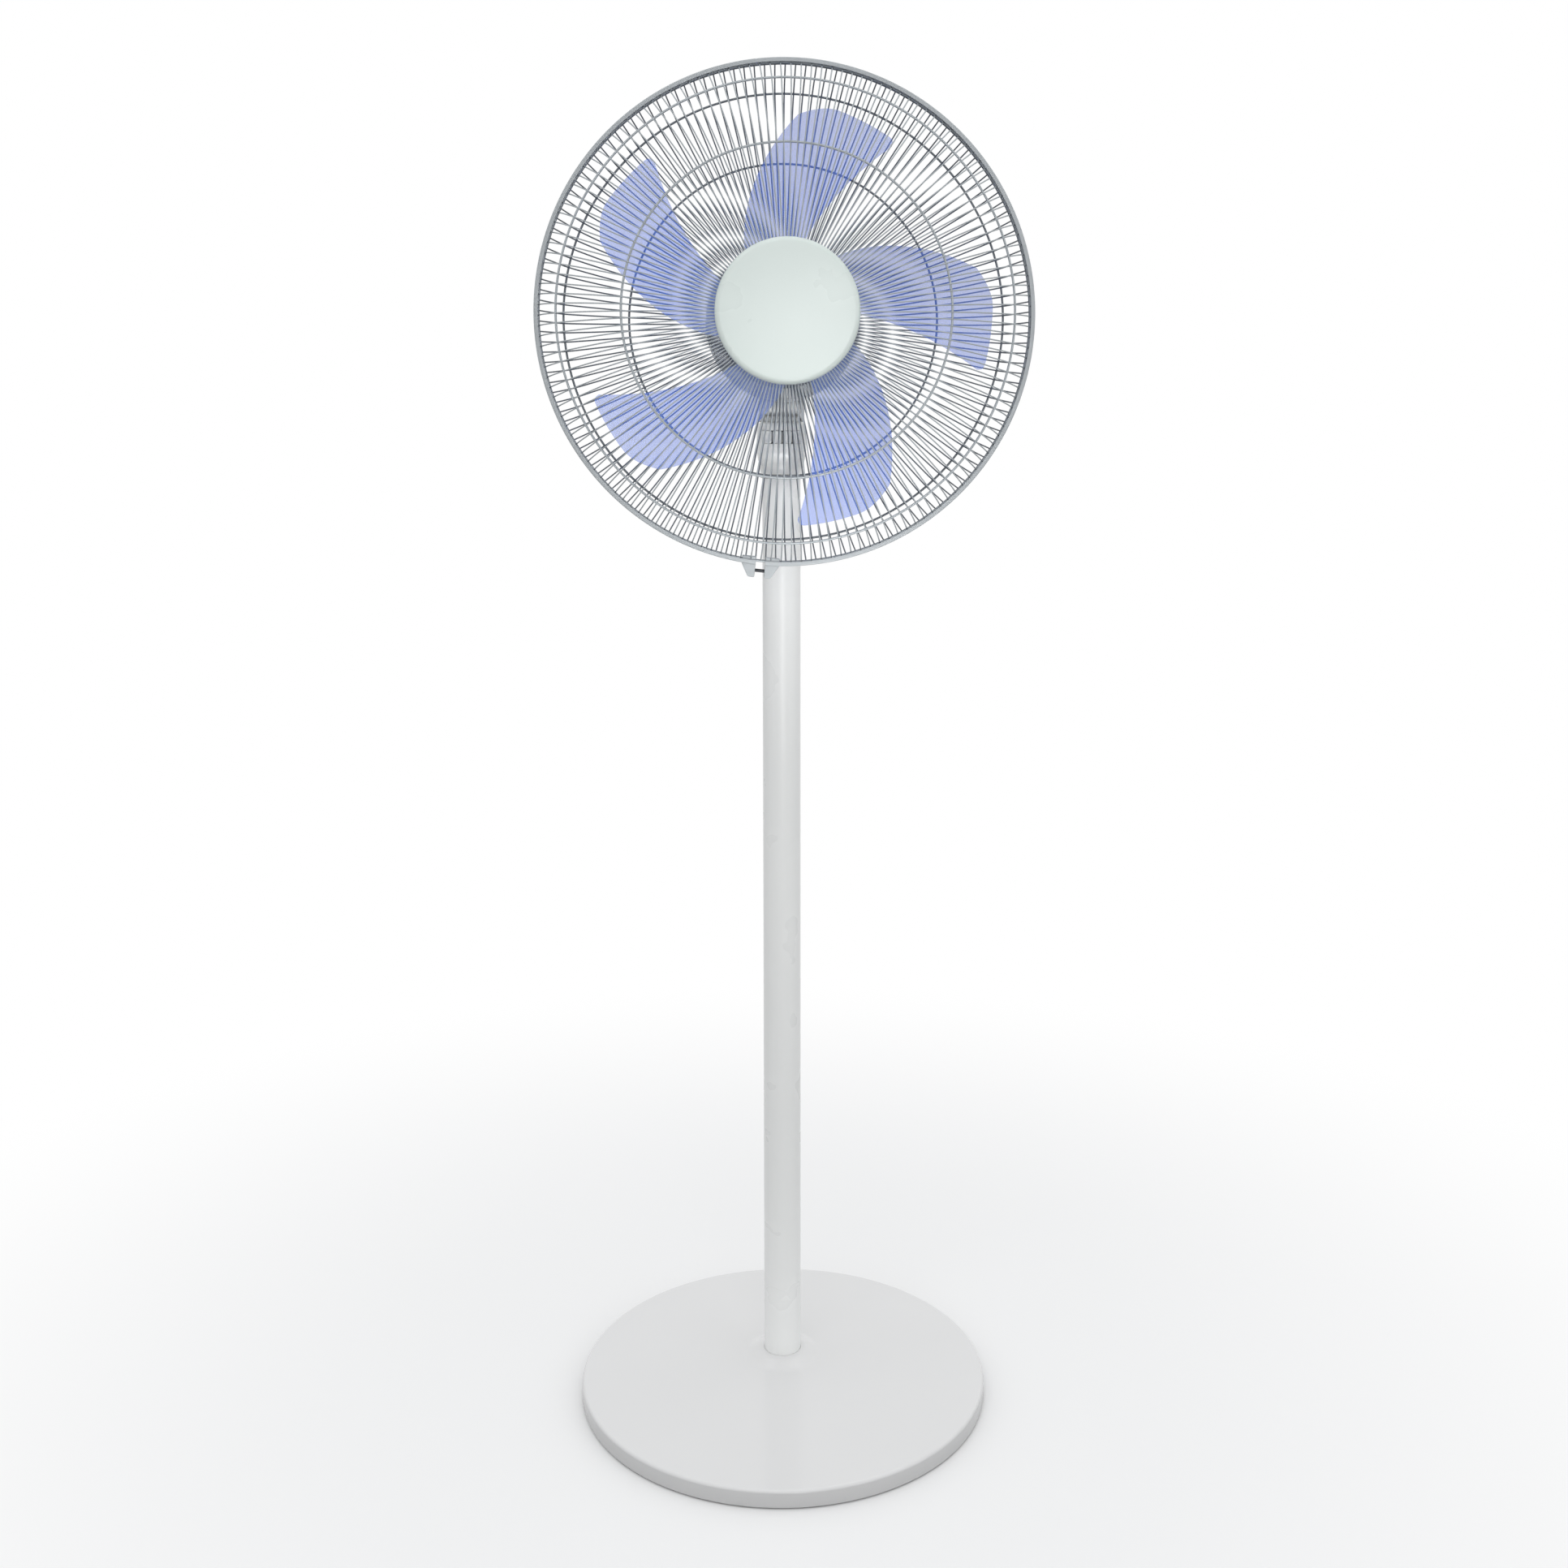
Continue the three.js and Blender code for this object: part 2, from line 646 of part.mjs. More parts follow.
function makeHousingShells() {
  const outer = housingForm(0, housingFoot, housingTop);
  const inner = housingForm(housingWall, housingFoot + housingWall, housingTop - housingWall);
  const bosses = housingScrews.map((place) => screwPlace(rod(screwBossRadius, -reach, reach, smallSides), place));
  const ribbed = join(cut(outer, inner), common(join(...bosses), outer));
  const foot = rod(innerTubeRadius + gap, housingFoot - overrun, housingFoot + housingWall * 2, roundSides);
  const crown = rod(postRadius + gap, housingTop - housingWall * 2, housingTop + overrun, roundSides);
  const bores = housingScrews.map((place) => screwPlace(rod(housingScrewRadius + gap,
    -housingHalfDepth + housingWall * 2, reach, tinySides), place));
  const sinks = housingScrews.map((place) => screwPlace(rod(housingScrewHeadRadius + gap,
    housingHalfDepth - housingWall * 2, reach, smallSides), place));
  const window = box(-keyRowHalf - gap, keyRowHalf + gap, -reach, 0,
    keyMiddle - keyHeight / 2 - gap, keyMiddle + keyHeight / 2 + gap);
  const glandHole = towardsY(rod(glandRadius + gap, 0, reach, smallSides)).translate(0, 0, glandHeight);
  const whole = cut(ribbed, foot, crown, ...bores, ...sinks, glandHole);
  const frontHalf = box(-reach, reach, -reach, -gap / 2, housingFoot - overrun, housingTop + overrun);
  const rearHalf = box(-reach, reach, gap / 2, reach, housingFoot - overrun, housingTop + overrun);
  return [cut(common(whole, frontHalf), window), common(whole, rearHalf)];
}

const [frontShell, rearShell] = makeHousingShells();
piece(pole, "control_housing_front", frontShell, finish.housingWhite);
piece(pole, "control_housing_rear", rearShell, finish.housingWhite);

// Four push keys side by side: off and three speeds.
const keyNames = ["key_off", "key_low", "key_medium", "key_high"];
for (let i = 0; i < keyCount; i += 1) {
  const face = faceDepth(keyOffsets[i]) + keyProud;
  const plate = roundedPlate(keyWidth / 2, keyHeight / 2, keyCorner, face - keyLength, face, 2);
  const key = plate.rotateX(Math.PI / 2).translate(keyOffsets[i], 0, keyMiddle);
  piece(pole, keyNames[i], key, finish.housingWhite);
}

// Switch block behind the keys, seated between the front shell's side walls and the post.
function makeSwitchBlock() {
  const front = -housingHalfDepth + switchSetback;
  return box(-keyRowHalf, keyRowHalf, front, front + switchDepth,
    keyMiddle - switchHeight / 2, keyMiddle + switchHeight / 2);
}

function makeCapacitor() {
  const rear = housingDepthAt(housingHeight * fullShare) - housingWall - capacitorClearance;
  const low = housingFoot + capacitorLevel;
  return box(-capacitorWidth / 2, capacitorWidth / 2, rear - capacitorDepth, rear, low, low + capacitorHeight);
}

// The mains inlet: a flanged bush in the rear shell.
function makeGland() {
  const seat = housingDepthAt(glandLevel + glandFlangeRadius) + gap;
  const body = turned([[glandBore, seat - glandLength], [glandRadius, seat - glandLength], [glandRadius, seat],
    [glandFlangeRadius, seat], [glandFlangeRadius, seat + glandFlangeThickness],
    [glandBore, seat + glandFlangeThickness]], smallSides);
  return towardsY(body).translate(0, 0, glandHeight);
}

function makeHousingScrew() {
  const seat = housingHalfDepth - housingWall * 2 + gap;
  const head = rod(housingScrewHeadRadius, seat, seat + housingScrewHeadDepth, smallSides);
  const shank = rod(housingScrewRadius, -housingHalfDepth + housingWall * 2 + gap, seat + gap, tinySides);
  return join(head, shank);
}

piece(pole, "switch_block", makeSwitchBlock(), finish.rubber);
piece(pole, "capacitor", makeCapacitor(), finish.rubber);
piece(pole, "cord_gland", makeGland(), finish.nylon);
piece(pole, "housing_screw_upper", screwPlace(makeHousingScrew(), housingScrews[0]), finish.steel);
piece(pole, "housing_screw_lower", screwPlace(makeHousingScrew(), housingScrews[1]), finish.steel);

// Neck bracket: spigot in the sliding tube, post through the housing, fork for the tilt block.
const forkPlateTop = housingTop + neckRise + forkPlateThickness;
const tiltLevel = forkPlateTop + gap + tiltBlockRadius;
const headHeight = tiltLevel + tiltDrop;
const earInner = forkHalfWidth - earThickness;

function makeNeckBracket() {
  const tubeTop = housingFoot + innerTubeRise;
  const spigotRadius = innerTubeBore - gap;
  const plateLow = forkPlateTop - forkPlateThickness;
  const post = turned([[0, tubeTop - spigotHeight], [spigotRadius, tubeTop - spigotHeight],
    [spigotRadius, tubeTop], [postRadius, tubeTop + gap], [postRadius, plateLow + overrun],
    [0, plateLow + overrun]]);
  const plate = roundedPlate(forkHalfWidth, earRadius, earThickness / 2, plateLow, forkPlateTop + gap);
  const ears = towardsX(rod(earRadius, -forkHalfWidth, forkHalfWidth, roundSides)).translate(0, 0, tiltLevel);
  const legs = box(-forkHalfWidth, forkHalfWidth, -earRadius, earRadius, plateLow + overrun, tiltLevel);
  const space = box(-earInner, earInner, -reach, reach, forkPlateTop, tiltLevel + earRadius + overrun);
  const bore = towardsX(rod(tiltBoltRadius + gap, -reach, reach, smallSides)).translate(0, 0, tiltLevel);
  const sink = tiltHeadRadius + gap;
  const sinks = [rod(sink, -reach, -forkHalfWidth + tiltHeadHeight, roundSides),
    rod(sink, forkHalfWidth - tiltHeadHeight, reach, roundSides)];
  const placed = sinks.map((tool) => towardsX(tool).translate(0, 0, tiltLevel));
  return cut(join(post, plate, ears, legs), space, bore, ...placed);
}

function makeTiltBolt() {
  const seat = -forkHalfWidth + tiltHeadHeight - gap;
  const head = rod(tiltHeadRadius, -forkHalfWidth, seat, smallSides);
  const shank = rod(tiltBoltRadius, seat - gap, forkHalfWidth - gap, smallSides);
  return towardsX(join(head, shank)).translate(0, 0, tiltLevel);
}

function makeTiltNut() {
  const seat = forkHalfWidth - tiltHeadHeight + gap;
  const body = cut(hexagon(tiltHeadRadius, seat, forkHalfWidth),
    rod(tiltBoltRadius + gap, seat - overrun, forkHalfWidth + overrun, smallSides));
  return towardsX(body).translate(0, 0, tiltLevel);
}

piece(pole, "neck_bracket", makeNeckBracket(), finish.housingWhite);
piece(pole, "tilt_bolt", makeTiltBolt(), finish.steel);
piece(pole, "tilt_nut", makeTiltNut(), finish.steel);

// Tilt block between the fork's ears, with the bearing of the pan pin and the link's fixed pin.
const blockTop = headHeight - pivotBossTop;
const linkTop = headHeight - linkDrop;

function makeTiltBlock() {
  const barrel = towardsX(rod(tiltBlockRadius, -earInner + gap, earInner - gap, roundSides));
  barrel.translate(0, 0, tiltLevel);
  const boss = rod(pivotBossRadius, tiltLevel, blockTop, roundSides);
  const armTop = linkTop - linkThickness - gap;
  const arm = roundedPlate((linkAnchor + linkWidth) / 2, linkWidth / 2, linkWidth / 2 - gap,
    tiltLevel + earRadius + gap, armTop).translate(-linkAnchor / 2, 0, 0);
  const pin = rod(linkPinRadius, armTop - overrun, linkTop + gap, smallSides).translate(-linkAnchor, 0, 0);
  const bore = rod(pivotPinRadius + gap, blockTop - pivotPinDepth - gap, blockTop + overrun, smallSides);
  const boltBore = towardsX(rod(tiltBoltRadius + gap, -reach, reach, smallSides)).translate(0, 0, tiltLevel);
  return cut(join(barrel, boss, arm, pin), bore, boltBore);
}

piece(pole, "tilt_block", makeTiltBlock(), finish.housingWhite);
piece(pole, "thrust_washer", tube(pivotBossRadius, pivotPinRadius + gap, blockTop + gap,
  blockTop + gap + thrustWasherThickness), finish.nylon);

// Head. Inside this group X is still to the right, Y is up and Z runs forward along the fan's axis,
// from the pan axis.
const head = new THREE.Group();
head.position.set(0, poleSetback, headHeight);
head.rotation.x = Math.PI / 2;
fan.add(head);

const shaftHole = shaftRadius + gap;
const noseTip = motorFront + noseLength;
const coverHollow = motorRadius - coverWall;
const bearingSeat = bearingRadius + gap;
const rearCoverRear = rearCoverFront - rearCoverDepth;
const lugBottom = -(pivotBossTop - gap - thrustWasherThickness - gap);
const lugHalfWidth = pivotPinRadius * 3;
const boltPlaces = [Math.PI * 0.25, Math.PI * 1.25];

function atBolts(geometry) {
  return boltPlaces.map((angle) => geometry.clone().translate(
    motorBoltCircle * Math.cos(angle), motorBoltCircle * Math.sin(angle), 0));
}

// Front cover of the motor: cup, wide flange for the shell, and the nose that carries the guard.
function makeMotorFrontCover() {
  const rear = motorFront - frontCoverDepth;
  const flangeRear = motorFront - motorFlangeThickness;
  const lip = noseTip - coverWall / 2;
  const body = turned([[shaftHole, noseTip], [noseRadius, noseTip], [noseRadius, motorFront],
    [motorFlangeRadius, motorFront], [motorFlangeRadius, flangeRear], [motorRadius, flangeRear],
    [motorRadius, rear], [coverHollow, rear], [coverHollow, motorFront - coverWall],
    [bearingSeat, motorFront - coverWall], [bearingSeat, lip], [shaftHole, lip]], roundSides);
  return cut(body, ...atBolts(rod(motorBoltRadius + gap, rear - overrun, motorFront - coverWall / 4, tinySides)));
}

// Rear cover: cup with a bearing seat, and the lug below that holds the pan pin.
function makeMotorRearCover() {
  const web = rearCoverRear + coverWall;
  const seatRadius = bearingSeat + coverWall;
  const seatRear = rearCoverFront - bearingLength - gap;
  const body = turned([[shaftHole, rearCoverRear], [motorRadius, rearCoverRear], [motorRadius, rearCoverFront],
    [coverHollow, rearCoverFront], [coverHollow, web], [seatRadius, web], [seatRadius, rearCoverFront],
    [bearingSeat, rearCoverFront], [bearingSeat, seatRear], [shaftHole, seatRear]]);
  const lug = box(-lugHalfWidth, lugHalfWidth, lugBottom, -coverHollow, -pivotPinRadius * 2, rearCoverFront);
  const bore = towardsY(rod(pivotPinRadius + gap, lugBottom - overrun, -motorRadius + overrun, smallSides));
  return cut(join(body, lug), bore, ...atBolts(rod(motorBoltRadius + gap, rearCoverRear - overrun, web + overrun,
    tinySides)));
}

function makeBearing(low) {
  return tube(bearingRadius, shaftHole, low, low + bearingLength, smallSides);
}

function makeStator() {
  const low = rearCoverFront + gap;
  const high = motorFront - frontCoverDepth - gap;
  const body = tube(motorRadius - coverWall / 4, statorBore, low, high);
  return cut(body, ...atBolts(rod(motorBoltRadius + gap, low - overrun, high + overrun, tinySides)));
}

function makeMotorBolt() {
  const seat = rearCoverRear - gap;
  const bolt = rod(motorBoltHeadRadius, seat - motorBoltHeadHeight, seat, smallSides);
  return join(bolt, rod(motorBoltRadius, seat - overrun, motorFront - coverWall / 2, tinySides));
}

piece(head, "motor_front_cover", makeMotorFrontCover(), finish.housingWhite);
piece(head, "motor_rear_cover", makeMotorRearCover(), finish.castMetal);
piece(head, "bearing_front", makeBearing(noseTip - coverWall / 2 - gap - bearingLength), finish.brass);
piece(head, "bearing_rear", makeBearing(rearCoverFront - bearingLength), finish.brass);
piece(head, "stator", makeStator(), finish.copper);
atBolts(makeMotorBolt()).forEach((bolt, i) => piece(head, `motor_bolt_${i + 1}`, bolt, finish.steel));

const pinTop = -(motorRadius - overrun) - gap;
const pinBottom = -(pivotBossTop + pivotPinDepth);
piece(head, "pivot_pin", towardsY(rod(pivotPinRadius, pinBottom, pinTop, smallSides)), finish.steel);

// Gearbox behind the motor: bores for the shaft's end, the pan knob's stem and the crank.
const gearboxFront = rearCoverRear - gap;
const postRear = -(shellRear - shellWall * 2);

function makeGearbox() {
  const halfHeight = (gearboxTop + gearboxBottom) / 2;
  const body = roundedPlate(gearboxHalfWidth, halfHeight, gearboxCorner, -gearboxRear, gearboxFront, 2);
  body.translate(0, gearboxTop - halfHeight, 0);
  const post = rod(rearPostRadius, postRear, -gearboxRear + overrun, smallSides);
  const shaftBore = rod(shaftHole, shaftRear - gap, gearboxFront + overrun, smallSides);
  const stemBore = towardsY(rod(panStemRadius + gap, gearboxTop - panStemDepth - gap, gearboxTop + overrun,
    smallSides)).translate(0, 0, -panKnobSetback);
  const crankBore = towardsY(rod(crankShaftRadius + gap, -gearboxBottom - overrun,
    -gearboxBottom + crankShaftLength + gap, smallSides)).translate(0, 0, -crankSetback);
  const screwBore = rod(shellScrewRadius + gap, postRear - overrun, shellScrewSeat + shellScrewLength + gap,
    tinySides);
  return cut(join(body, post), shaftBore, stemBore, crankBore, screwBore);
}

const shellScrewSeat = -shellRear - gap;
piece(head, "gearbox_case", makeGearbox(), finish.castMetal);

// Crank disc under the gearbox: at rest its pin stands across the line to the link's anchor.
const anchorAngle = Math.atan2(linkAnchor, crankSetback);
const crankPinSide = -crankThrow * Math.cos(anchorAngle);
const crankPinBack = crankSetback + crankThrow * Math.sin(anchorAngle);

function makeCrank() {
  const top = -gearboxBottom - gap;
  const disc = rod(crankRadius, top - crankThickness, top, roundSides);
  const shaft = rod(crankShaftRadius, top - overrun, top + gap + crankShaftLength, smallSides);
  const centred = join(disc, shaft).rotateX(-Math.PI / 2).translate(0, 0, -crankSetback);
  const pin = towardsY(rod(crankPinRadius, -linkDrop + gap, top - overrun, smallSides));
  return join(centred, pin.translate(crankPinSide, 0, -crankPinBack));
}

piece(head, "crank", makeCrank(), finish.steel);

// Link from the tilt block's fixed pin to under the crank pin, which ends just above the link.
function makeLink() {
  const run = Math.hypot(crankPinSide + linkAnchor, crankPinBack);
  const plate = roundedPlate(linkWidth / 2, (run + linkWidth) / 2, linkWidth / 2 - gap,
    linkTop - linkThickness, linkTop).translate(0, run / 2, 0);
  const eye = rod(linkPinRadius + gap, linkTop - linkThickness - overrun, linkTop + overrun, smallSides);
  const bar = cut(plate, eye);
  const turn = -Math.atan2(crankPinSide + linkAnchor, crankPinBack);
  return bar.rotateZ(turn).translate(-linkAnchor, 0, 0);
}

piece(pole, "link", makeLink(), finish.steel);

// Motor shell: a tapering bullet with vents behind, open below for the neck and the link.
const shellShares = [[0, 1], [0.2, 0.985], [0.4, 0.95], [0.57, 0.89], [0.74, 0.78], [0.88, 0.6],
  [0.965, 0.33], [1, 0]];

function shellProfile(frontRadius, rear) {
  return shellShares.map(([lengthShare, radiusShare]) => [
    frontRadius * radiusShare, motorFront - (motorFront + rear) * lengthShare]);
}

// The shell's outer radius at a distance ahead of the pan axis.
function shellRadiusAt(place) {
  const profile = shellProfile(shellFrontRadius, shellRear);
  const next = profile.findIndex(([, height]) => height <= place);
  const [[r0, h0], [r1, h1]] = [profile[next - 1], profile[next]];
  return r0 + ((r1 - r0) * (place - h0)) / (h1 - h0);
}

function makeMotorShell() {
  const outer = shellProfile(shellFrontRadius, shellRear);
  const inner = shellProfile(shellFrontRadius - shellWall, shellRear - shellWall);
  const body = turned([...outer.reverse(), ...inner], wideSides);
  const deep = shellFrontRadius + overrun;
  const neckHole = towardsY(rod(shellOpeningRadius, -deep, -motorRadius, roundSides));
  const linkHole = box(-shellOpeningHalfWidth, shellOpeningHalfWidth, -deep, -gearboxBottom - crankThickness,
    -shellOpeningRear, 0);
  const stemHole = towardsY(rod(panStemRadius + gap, gearboxTop + overrun, deep, smallSides));
  stemHole.translate(0, 0, -panKnobSetback);
  const screwHole = rod(shellScrewRadius + gap, -shellRear - overrun, postRear, tinySides);
  const slots = [];
  for (let i = 0; i < shellSlotCount; i += 1) {
    const slot = box(shellSlotInner, shellSlotOuter, -shellSlotWidth / 2, shellSlotWidth / 2,
      -shellRear - overrun, -gearboxRear - gap);
    slots.push(slot.rotateZ(((i + 0.5) / shellSlotCount) * Math.PI * 2));
  }
  return cut(body, neckHole, linkHole, stemHole, screwHole, ...slots);
}

function makeShellScrew() {
  const screwHead = rod(shellScrewHeadRadius, shellScrewSeat - shellScrewHeadHeight, shellScrewSeat, smallSides);
  const shank = rod(shellScrewRadius, shellScrewSeat - gap, shellScrewSeat + shellScrewLength, tinySides);
  return join(screwHead, shank);
}

piece(head, "motor_shell", makeMotorShell(), finish.housingWhite);
piece(head, "shell_screw", makeShellScrew(), finish.steel);

// Pan knob: pushed down to let the gearbox swing the head, pulled up to stop it.
function makePanKnob() {
  const low = shellRadiusAt(-panKnobSetback) + panKnobLift;
  const high = low + panKnobHeight;
  const face = panKnobRadius - panKnobChamfer;
  const grip = turned([[0, low], [face, low], [panKnobRadius, low + panKnobChamfer],
    [panKnobRadius, high - panKnobChamfer], [face, high], [0, high]]);
  const stem = rod(panStemRadius, gearboxTop - panStemDepth, low + overrun, smallSides);
  return towardsY(join(grip, stem)).translate(0, 0, -panKnobSetback);
}

piece(head, "pan_knob", makePanKnob(), finish.housingWhite);

// Rotor: shaft, core, impeller on its drive pin, and the nut that holds the impeller.
const hubFront = hubRear + hubLength;
const drivePinPlace = hubRear + drivePinInset;

function makeShaft() {
  const hole = towardsX(rod(drivePinRadius + gap, -shaftRadius * 2, shaftRadius * 2, tinySides));
  return cut(rod(shaftRadius, shaftRear, shaftTip, smallSides), hole.translate(0, 0, drivePinPlace));
}

function makeDrivePin() {
  const pin = rod(drivePinRadius, -drivePinLength / 2, drivePinLength / 2, tinySides);
  return towardsX(pin).translate(0, 0, drivePinPlace);
}

function makeRotorCore() {
  const low = rearCoverFront + gap * 4;
  return tube(rotorCoreRadius, shaftHole, low, motorFront - frontCoverDepth - gap * 4);
}

const radialSteps = 5;
const chordSteps = 4;

// Blade edges as angles clockwise from the blade's middle line, seen from the front.
function bladeEdge(rootDegrees, tipDegrees, bend, share) {
  return THREE.MathUtils.degToRad(rootDegrees + (tipDegrees - rootDegrees) * share ** bend);
}

// A point of the blade's middle surface: radial share from root to tip, chord share from the
// trailing to the leading edge. The leading edge lies to the rear, and the chord is hollow in front.
function bladePoint(radialShare, chordShare, side) {
  const cornerShare = Math.max(0, 1 - chordShare / tipCornerShare);
  const pointShare = Math.max(0, 1 - (1 - chordShare) / bladePointShare);
  const tip = bladeTipRadius - bladeCorner * cornerShare ** 2 - bladePointDraw * pointShare ** 3;
  const radius = bladeRootRadius + (tip - bladeRootRadius) * radialShare;
  const share = (radius - bladeRootRadius) / (bladeTipRadius - bladeRootRadius);
  const trailing = bladeEdge(trailingRootAngle, trailingTipAngle, trailingBendShare, share);
  const leading = bladeEdge(leadingRootAngle, leadingTipAngle, leadingBendShare, share);
  const angle = trailing + (leading - trailing) * chordShare;
  const pitch = THREE.MathUtils.degToRad(bladeRootPitch + (bladeTipPitch - bladeRootPitch) * share);
  const along = (angle - (leading + trailing) / 2) * radius * Math.tan(pitch);
  const bulge = Math.sin(Math.PI * chordShare);
  const half = (bladeThickness / 2) * (bladeEdgeShare + (1 - bladeEdgeShare) * bulge);
  const depth = bladeMiddle - along - bladeCamber * bulge + side * half;
  return [radius * Math.sin(angle), radius * Math.cos(angle), depth];
}

function makeBlade() {
  const rings = [];
  for (let i = 0; i <= radialSteps; i += 1) {
    const ring = [];
    for (let j = 0; j <= chordSteps; j += 1) ring.push(bladePoint(i / radialSteps, j / chordSteps, 1));
    for (let j = chordSteps; j >= 0; j -= 1) ring.push(bladePoint(i / radialSteps, j / chordSteps, -1));
    rings.push(ring);
  }
  return lofted(rings);
}

function makeImpeller() {
  const face = hubFront - hubWall;
  const inner = hubRadius - hubWall;
  const hub = turned([[shaftHole, hubFront], [hubRadius - hubWall, hubFront], [hubRadius, face],
    [hubRadius, hubRear], [inner, hubRear], [inner, face], [hubBossRadius, face], [hubBossRadius, hubRear],
    [shaftHole, hubRear]]);
  const around = rod(inner, hubRear - hubLength, face, roundSides);
  const blade = cut(makeBlade(), around);
  const blades = [];
  for (let i = 0; i < bladeCount; i += 1) {
    blades.push(blade.clone().rotateZ((-i / bladeCount) * Math.PI * 2));
  }
  const slot = box(-hubBossRadius - overrun, hubBossRadius + overrun, -drivePinRadius - gap,
    drivePinRadius + gap, hubRear - overrun, drivePinPlace + drivePinRadius + gap);
  return cut(join(hub, ...blades), slot);
}

function makeSpinner() {
  const rear = hubFront + gap;
  const dome = [];
  const steps = 5;
  for (let i = 0; i <= steps; i += 1) {
    const angle = (i / steps) * (Math.PI / 2);
    const heightShare = spinnerRimShare + (1 - spinnerRimShare) * Math.sin(angle);
    dome.push([spinnerRadius * Math.cos(angle), rear + spinnerLength * heightShare]);
  }
  dome[steps][0] = 0;
  return turned([[0, shaftTip + gap], [shaftHole, shaftTip + gap], [shaftHole, rear], [spinnerRadius, rear],
    ...dome], smallSides);
}

piece(head, "shaft", makeShaft(), finish.steel);
piece(head, "drive_pin", makeDrivePin(), finish.steel);
piece(head, "rotor_core", makeRotorCore(), finish.darkSteel);
piece(head, "impeller", makeImpeller(), finish.bladeBlue);
piece(head, "spinner", makeSpinner(), finish.housingWhite);

// Guards: bent radial wires welded to rings, each welded crossing sunk a little into its ring.
const weldOffset = (wireRadius + ringWireRadius) * weldShare;
const rimRadius = bladeTipRadius + rimClearance;
const rimOffset = rimWireRadius + gap;
const innerRingRadius = rimRadius - innerRingInset;
const outerRingRadius = rimRadius - outerRingInset;
const turnRadius = rimRadius - rimTurnInset;
const bendRadius = (innerRingRadius + outerRingRadius) / 2;
const ringSides = wireCount * 2;

// A three-sided wire through points of radius and reach, in the plane of X and Z.
function makeWire(route) {
  const rings = route.map(([radius, height], i) => {
    const [r0, h0] = route[Math.max(0, i - 1)];
    const [r1, h1] = route[Math.min(route.length - 1, i + 1)];
    const run = Math.hypot(r1 - r0, h1 - h0);
    const [across, up] = [-(h1 - h0) / run, (r1 - r0) / run];
    return [0, 1, 2].map((corner) => {
      const angle = (corner / 3) * Math.PI * 2;
      const [c, s] = [wireRadius * Math.cos(angle), wireRadius * Math.sin(angle)];
      return [radius + across * c, s, height + up * c];
    });
  });
  return lofted(rings);
}

// A ring of wire: each radial wire crosses it in the middle of a facet.
function makeRing(ringRadius, reachAhead, wireSize) {
  const section = arc(ringRadius, reachAhead, wireSize, 90, 330, 2);
  return turned(section, ringSides).rotateZ(Math.PI / ringSides);
}

// Wires and rings joined into one piece.
function makeGuard(route, rings, ...extras) {
  const wire = makeWire(route);
  const wires = [];
  for (let i = 0; i < wireCount; i += 1) wires.push(wire.clone().rotateZ((i / wireCount) * Math.PI * 2));
  return join(...rings.map((ring) => makeRing(...ring)), ...extras, ...wires);
}

function makeFrontGuard() {
  const inner = rimPlane + frontInnerRingReach;
  const outer = rimPlane + frontOuterRingReach;
  const hub = rimPlane + frontHubReach;
  const rim = rimPlane + rimOffset;
  const bend = inner + (outer - inner) * frontBendShare;
  const route = [[frontHubRadius, hub], [innerRingRadius, inner], [bendRadius, bend],
    [outerRingRadius, outer], [turnRadius, rim + (outer - rim) * frontTurnShare], [rimRadius, rim]];
  const rings = [[rimRadius, rim, rimWireRadius], [outerRingRadius, outer - weldOffset, ringWireRadius],
    [innerRingRadius, inner - weldOffset, ringWireRadius], [frontHubRadius, hub - weldOffset, ringWireRadius]];
  return makeGuard(route, rings);
}

const plateRear = motorFront + gap;
const plateFront = plateRear + rearPlateThickness;

function makeRearGuard() {
  const inner = rimPlane - rearInnerRingReach;
  const outer = rimPlane - rearOuterRingReach;
  const rim = rimPlane - rimOffset;
  const bend = inner + (outer - inner) * rearBendShare;
  const route = [[rearPlateRadius - plateOverlap, plateFront], [innerRingRadius, inner], [bendRadius, bend],
    [outerRingRadius, outer], [turnRadius, rim + (outer - rim) * rearTurnShare], [rimRadius, rim]];
  const rings = [[rimRadius, rim, rimWireRadius], [outerRingRadius, outer - weldOffset, ringWireRadius],
    [innerRingRadius, inner - weldOffset, ringWireRadius]];
  const plate = tube(rearPlateRadius, noseRadius + gap, plateRear, plateFront);
  return makeGuard(route, rings, plate);
}

function makeGuardNut() {
  const low = plateFront + wireRadius + gap;
  const body = lobedGrip(guardNutRadius, guardNutLobes, guardNutLobeDepth, low, low + guardNutLength);
  return cut(body, rod(noseRadius + gap, low - overrun, low + guardNutLength + overrun, roundSides));
}

piece(head, "rear_guard", makeRearGuard(), finish.wirePale);
piece(head, "guard_nut", makeGuardNut(), finish.nylon);
piece(head, "front_guard", makeFrontGuard(), finish.wireGrey);

// Cap and back plate that grip the wires in the middle of the front guard.
const capFace = rimPlane + capReach;
const backFront = rimPlane + frontHubReach - weldOffset - ringWireRadius - gap;

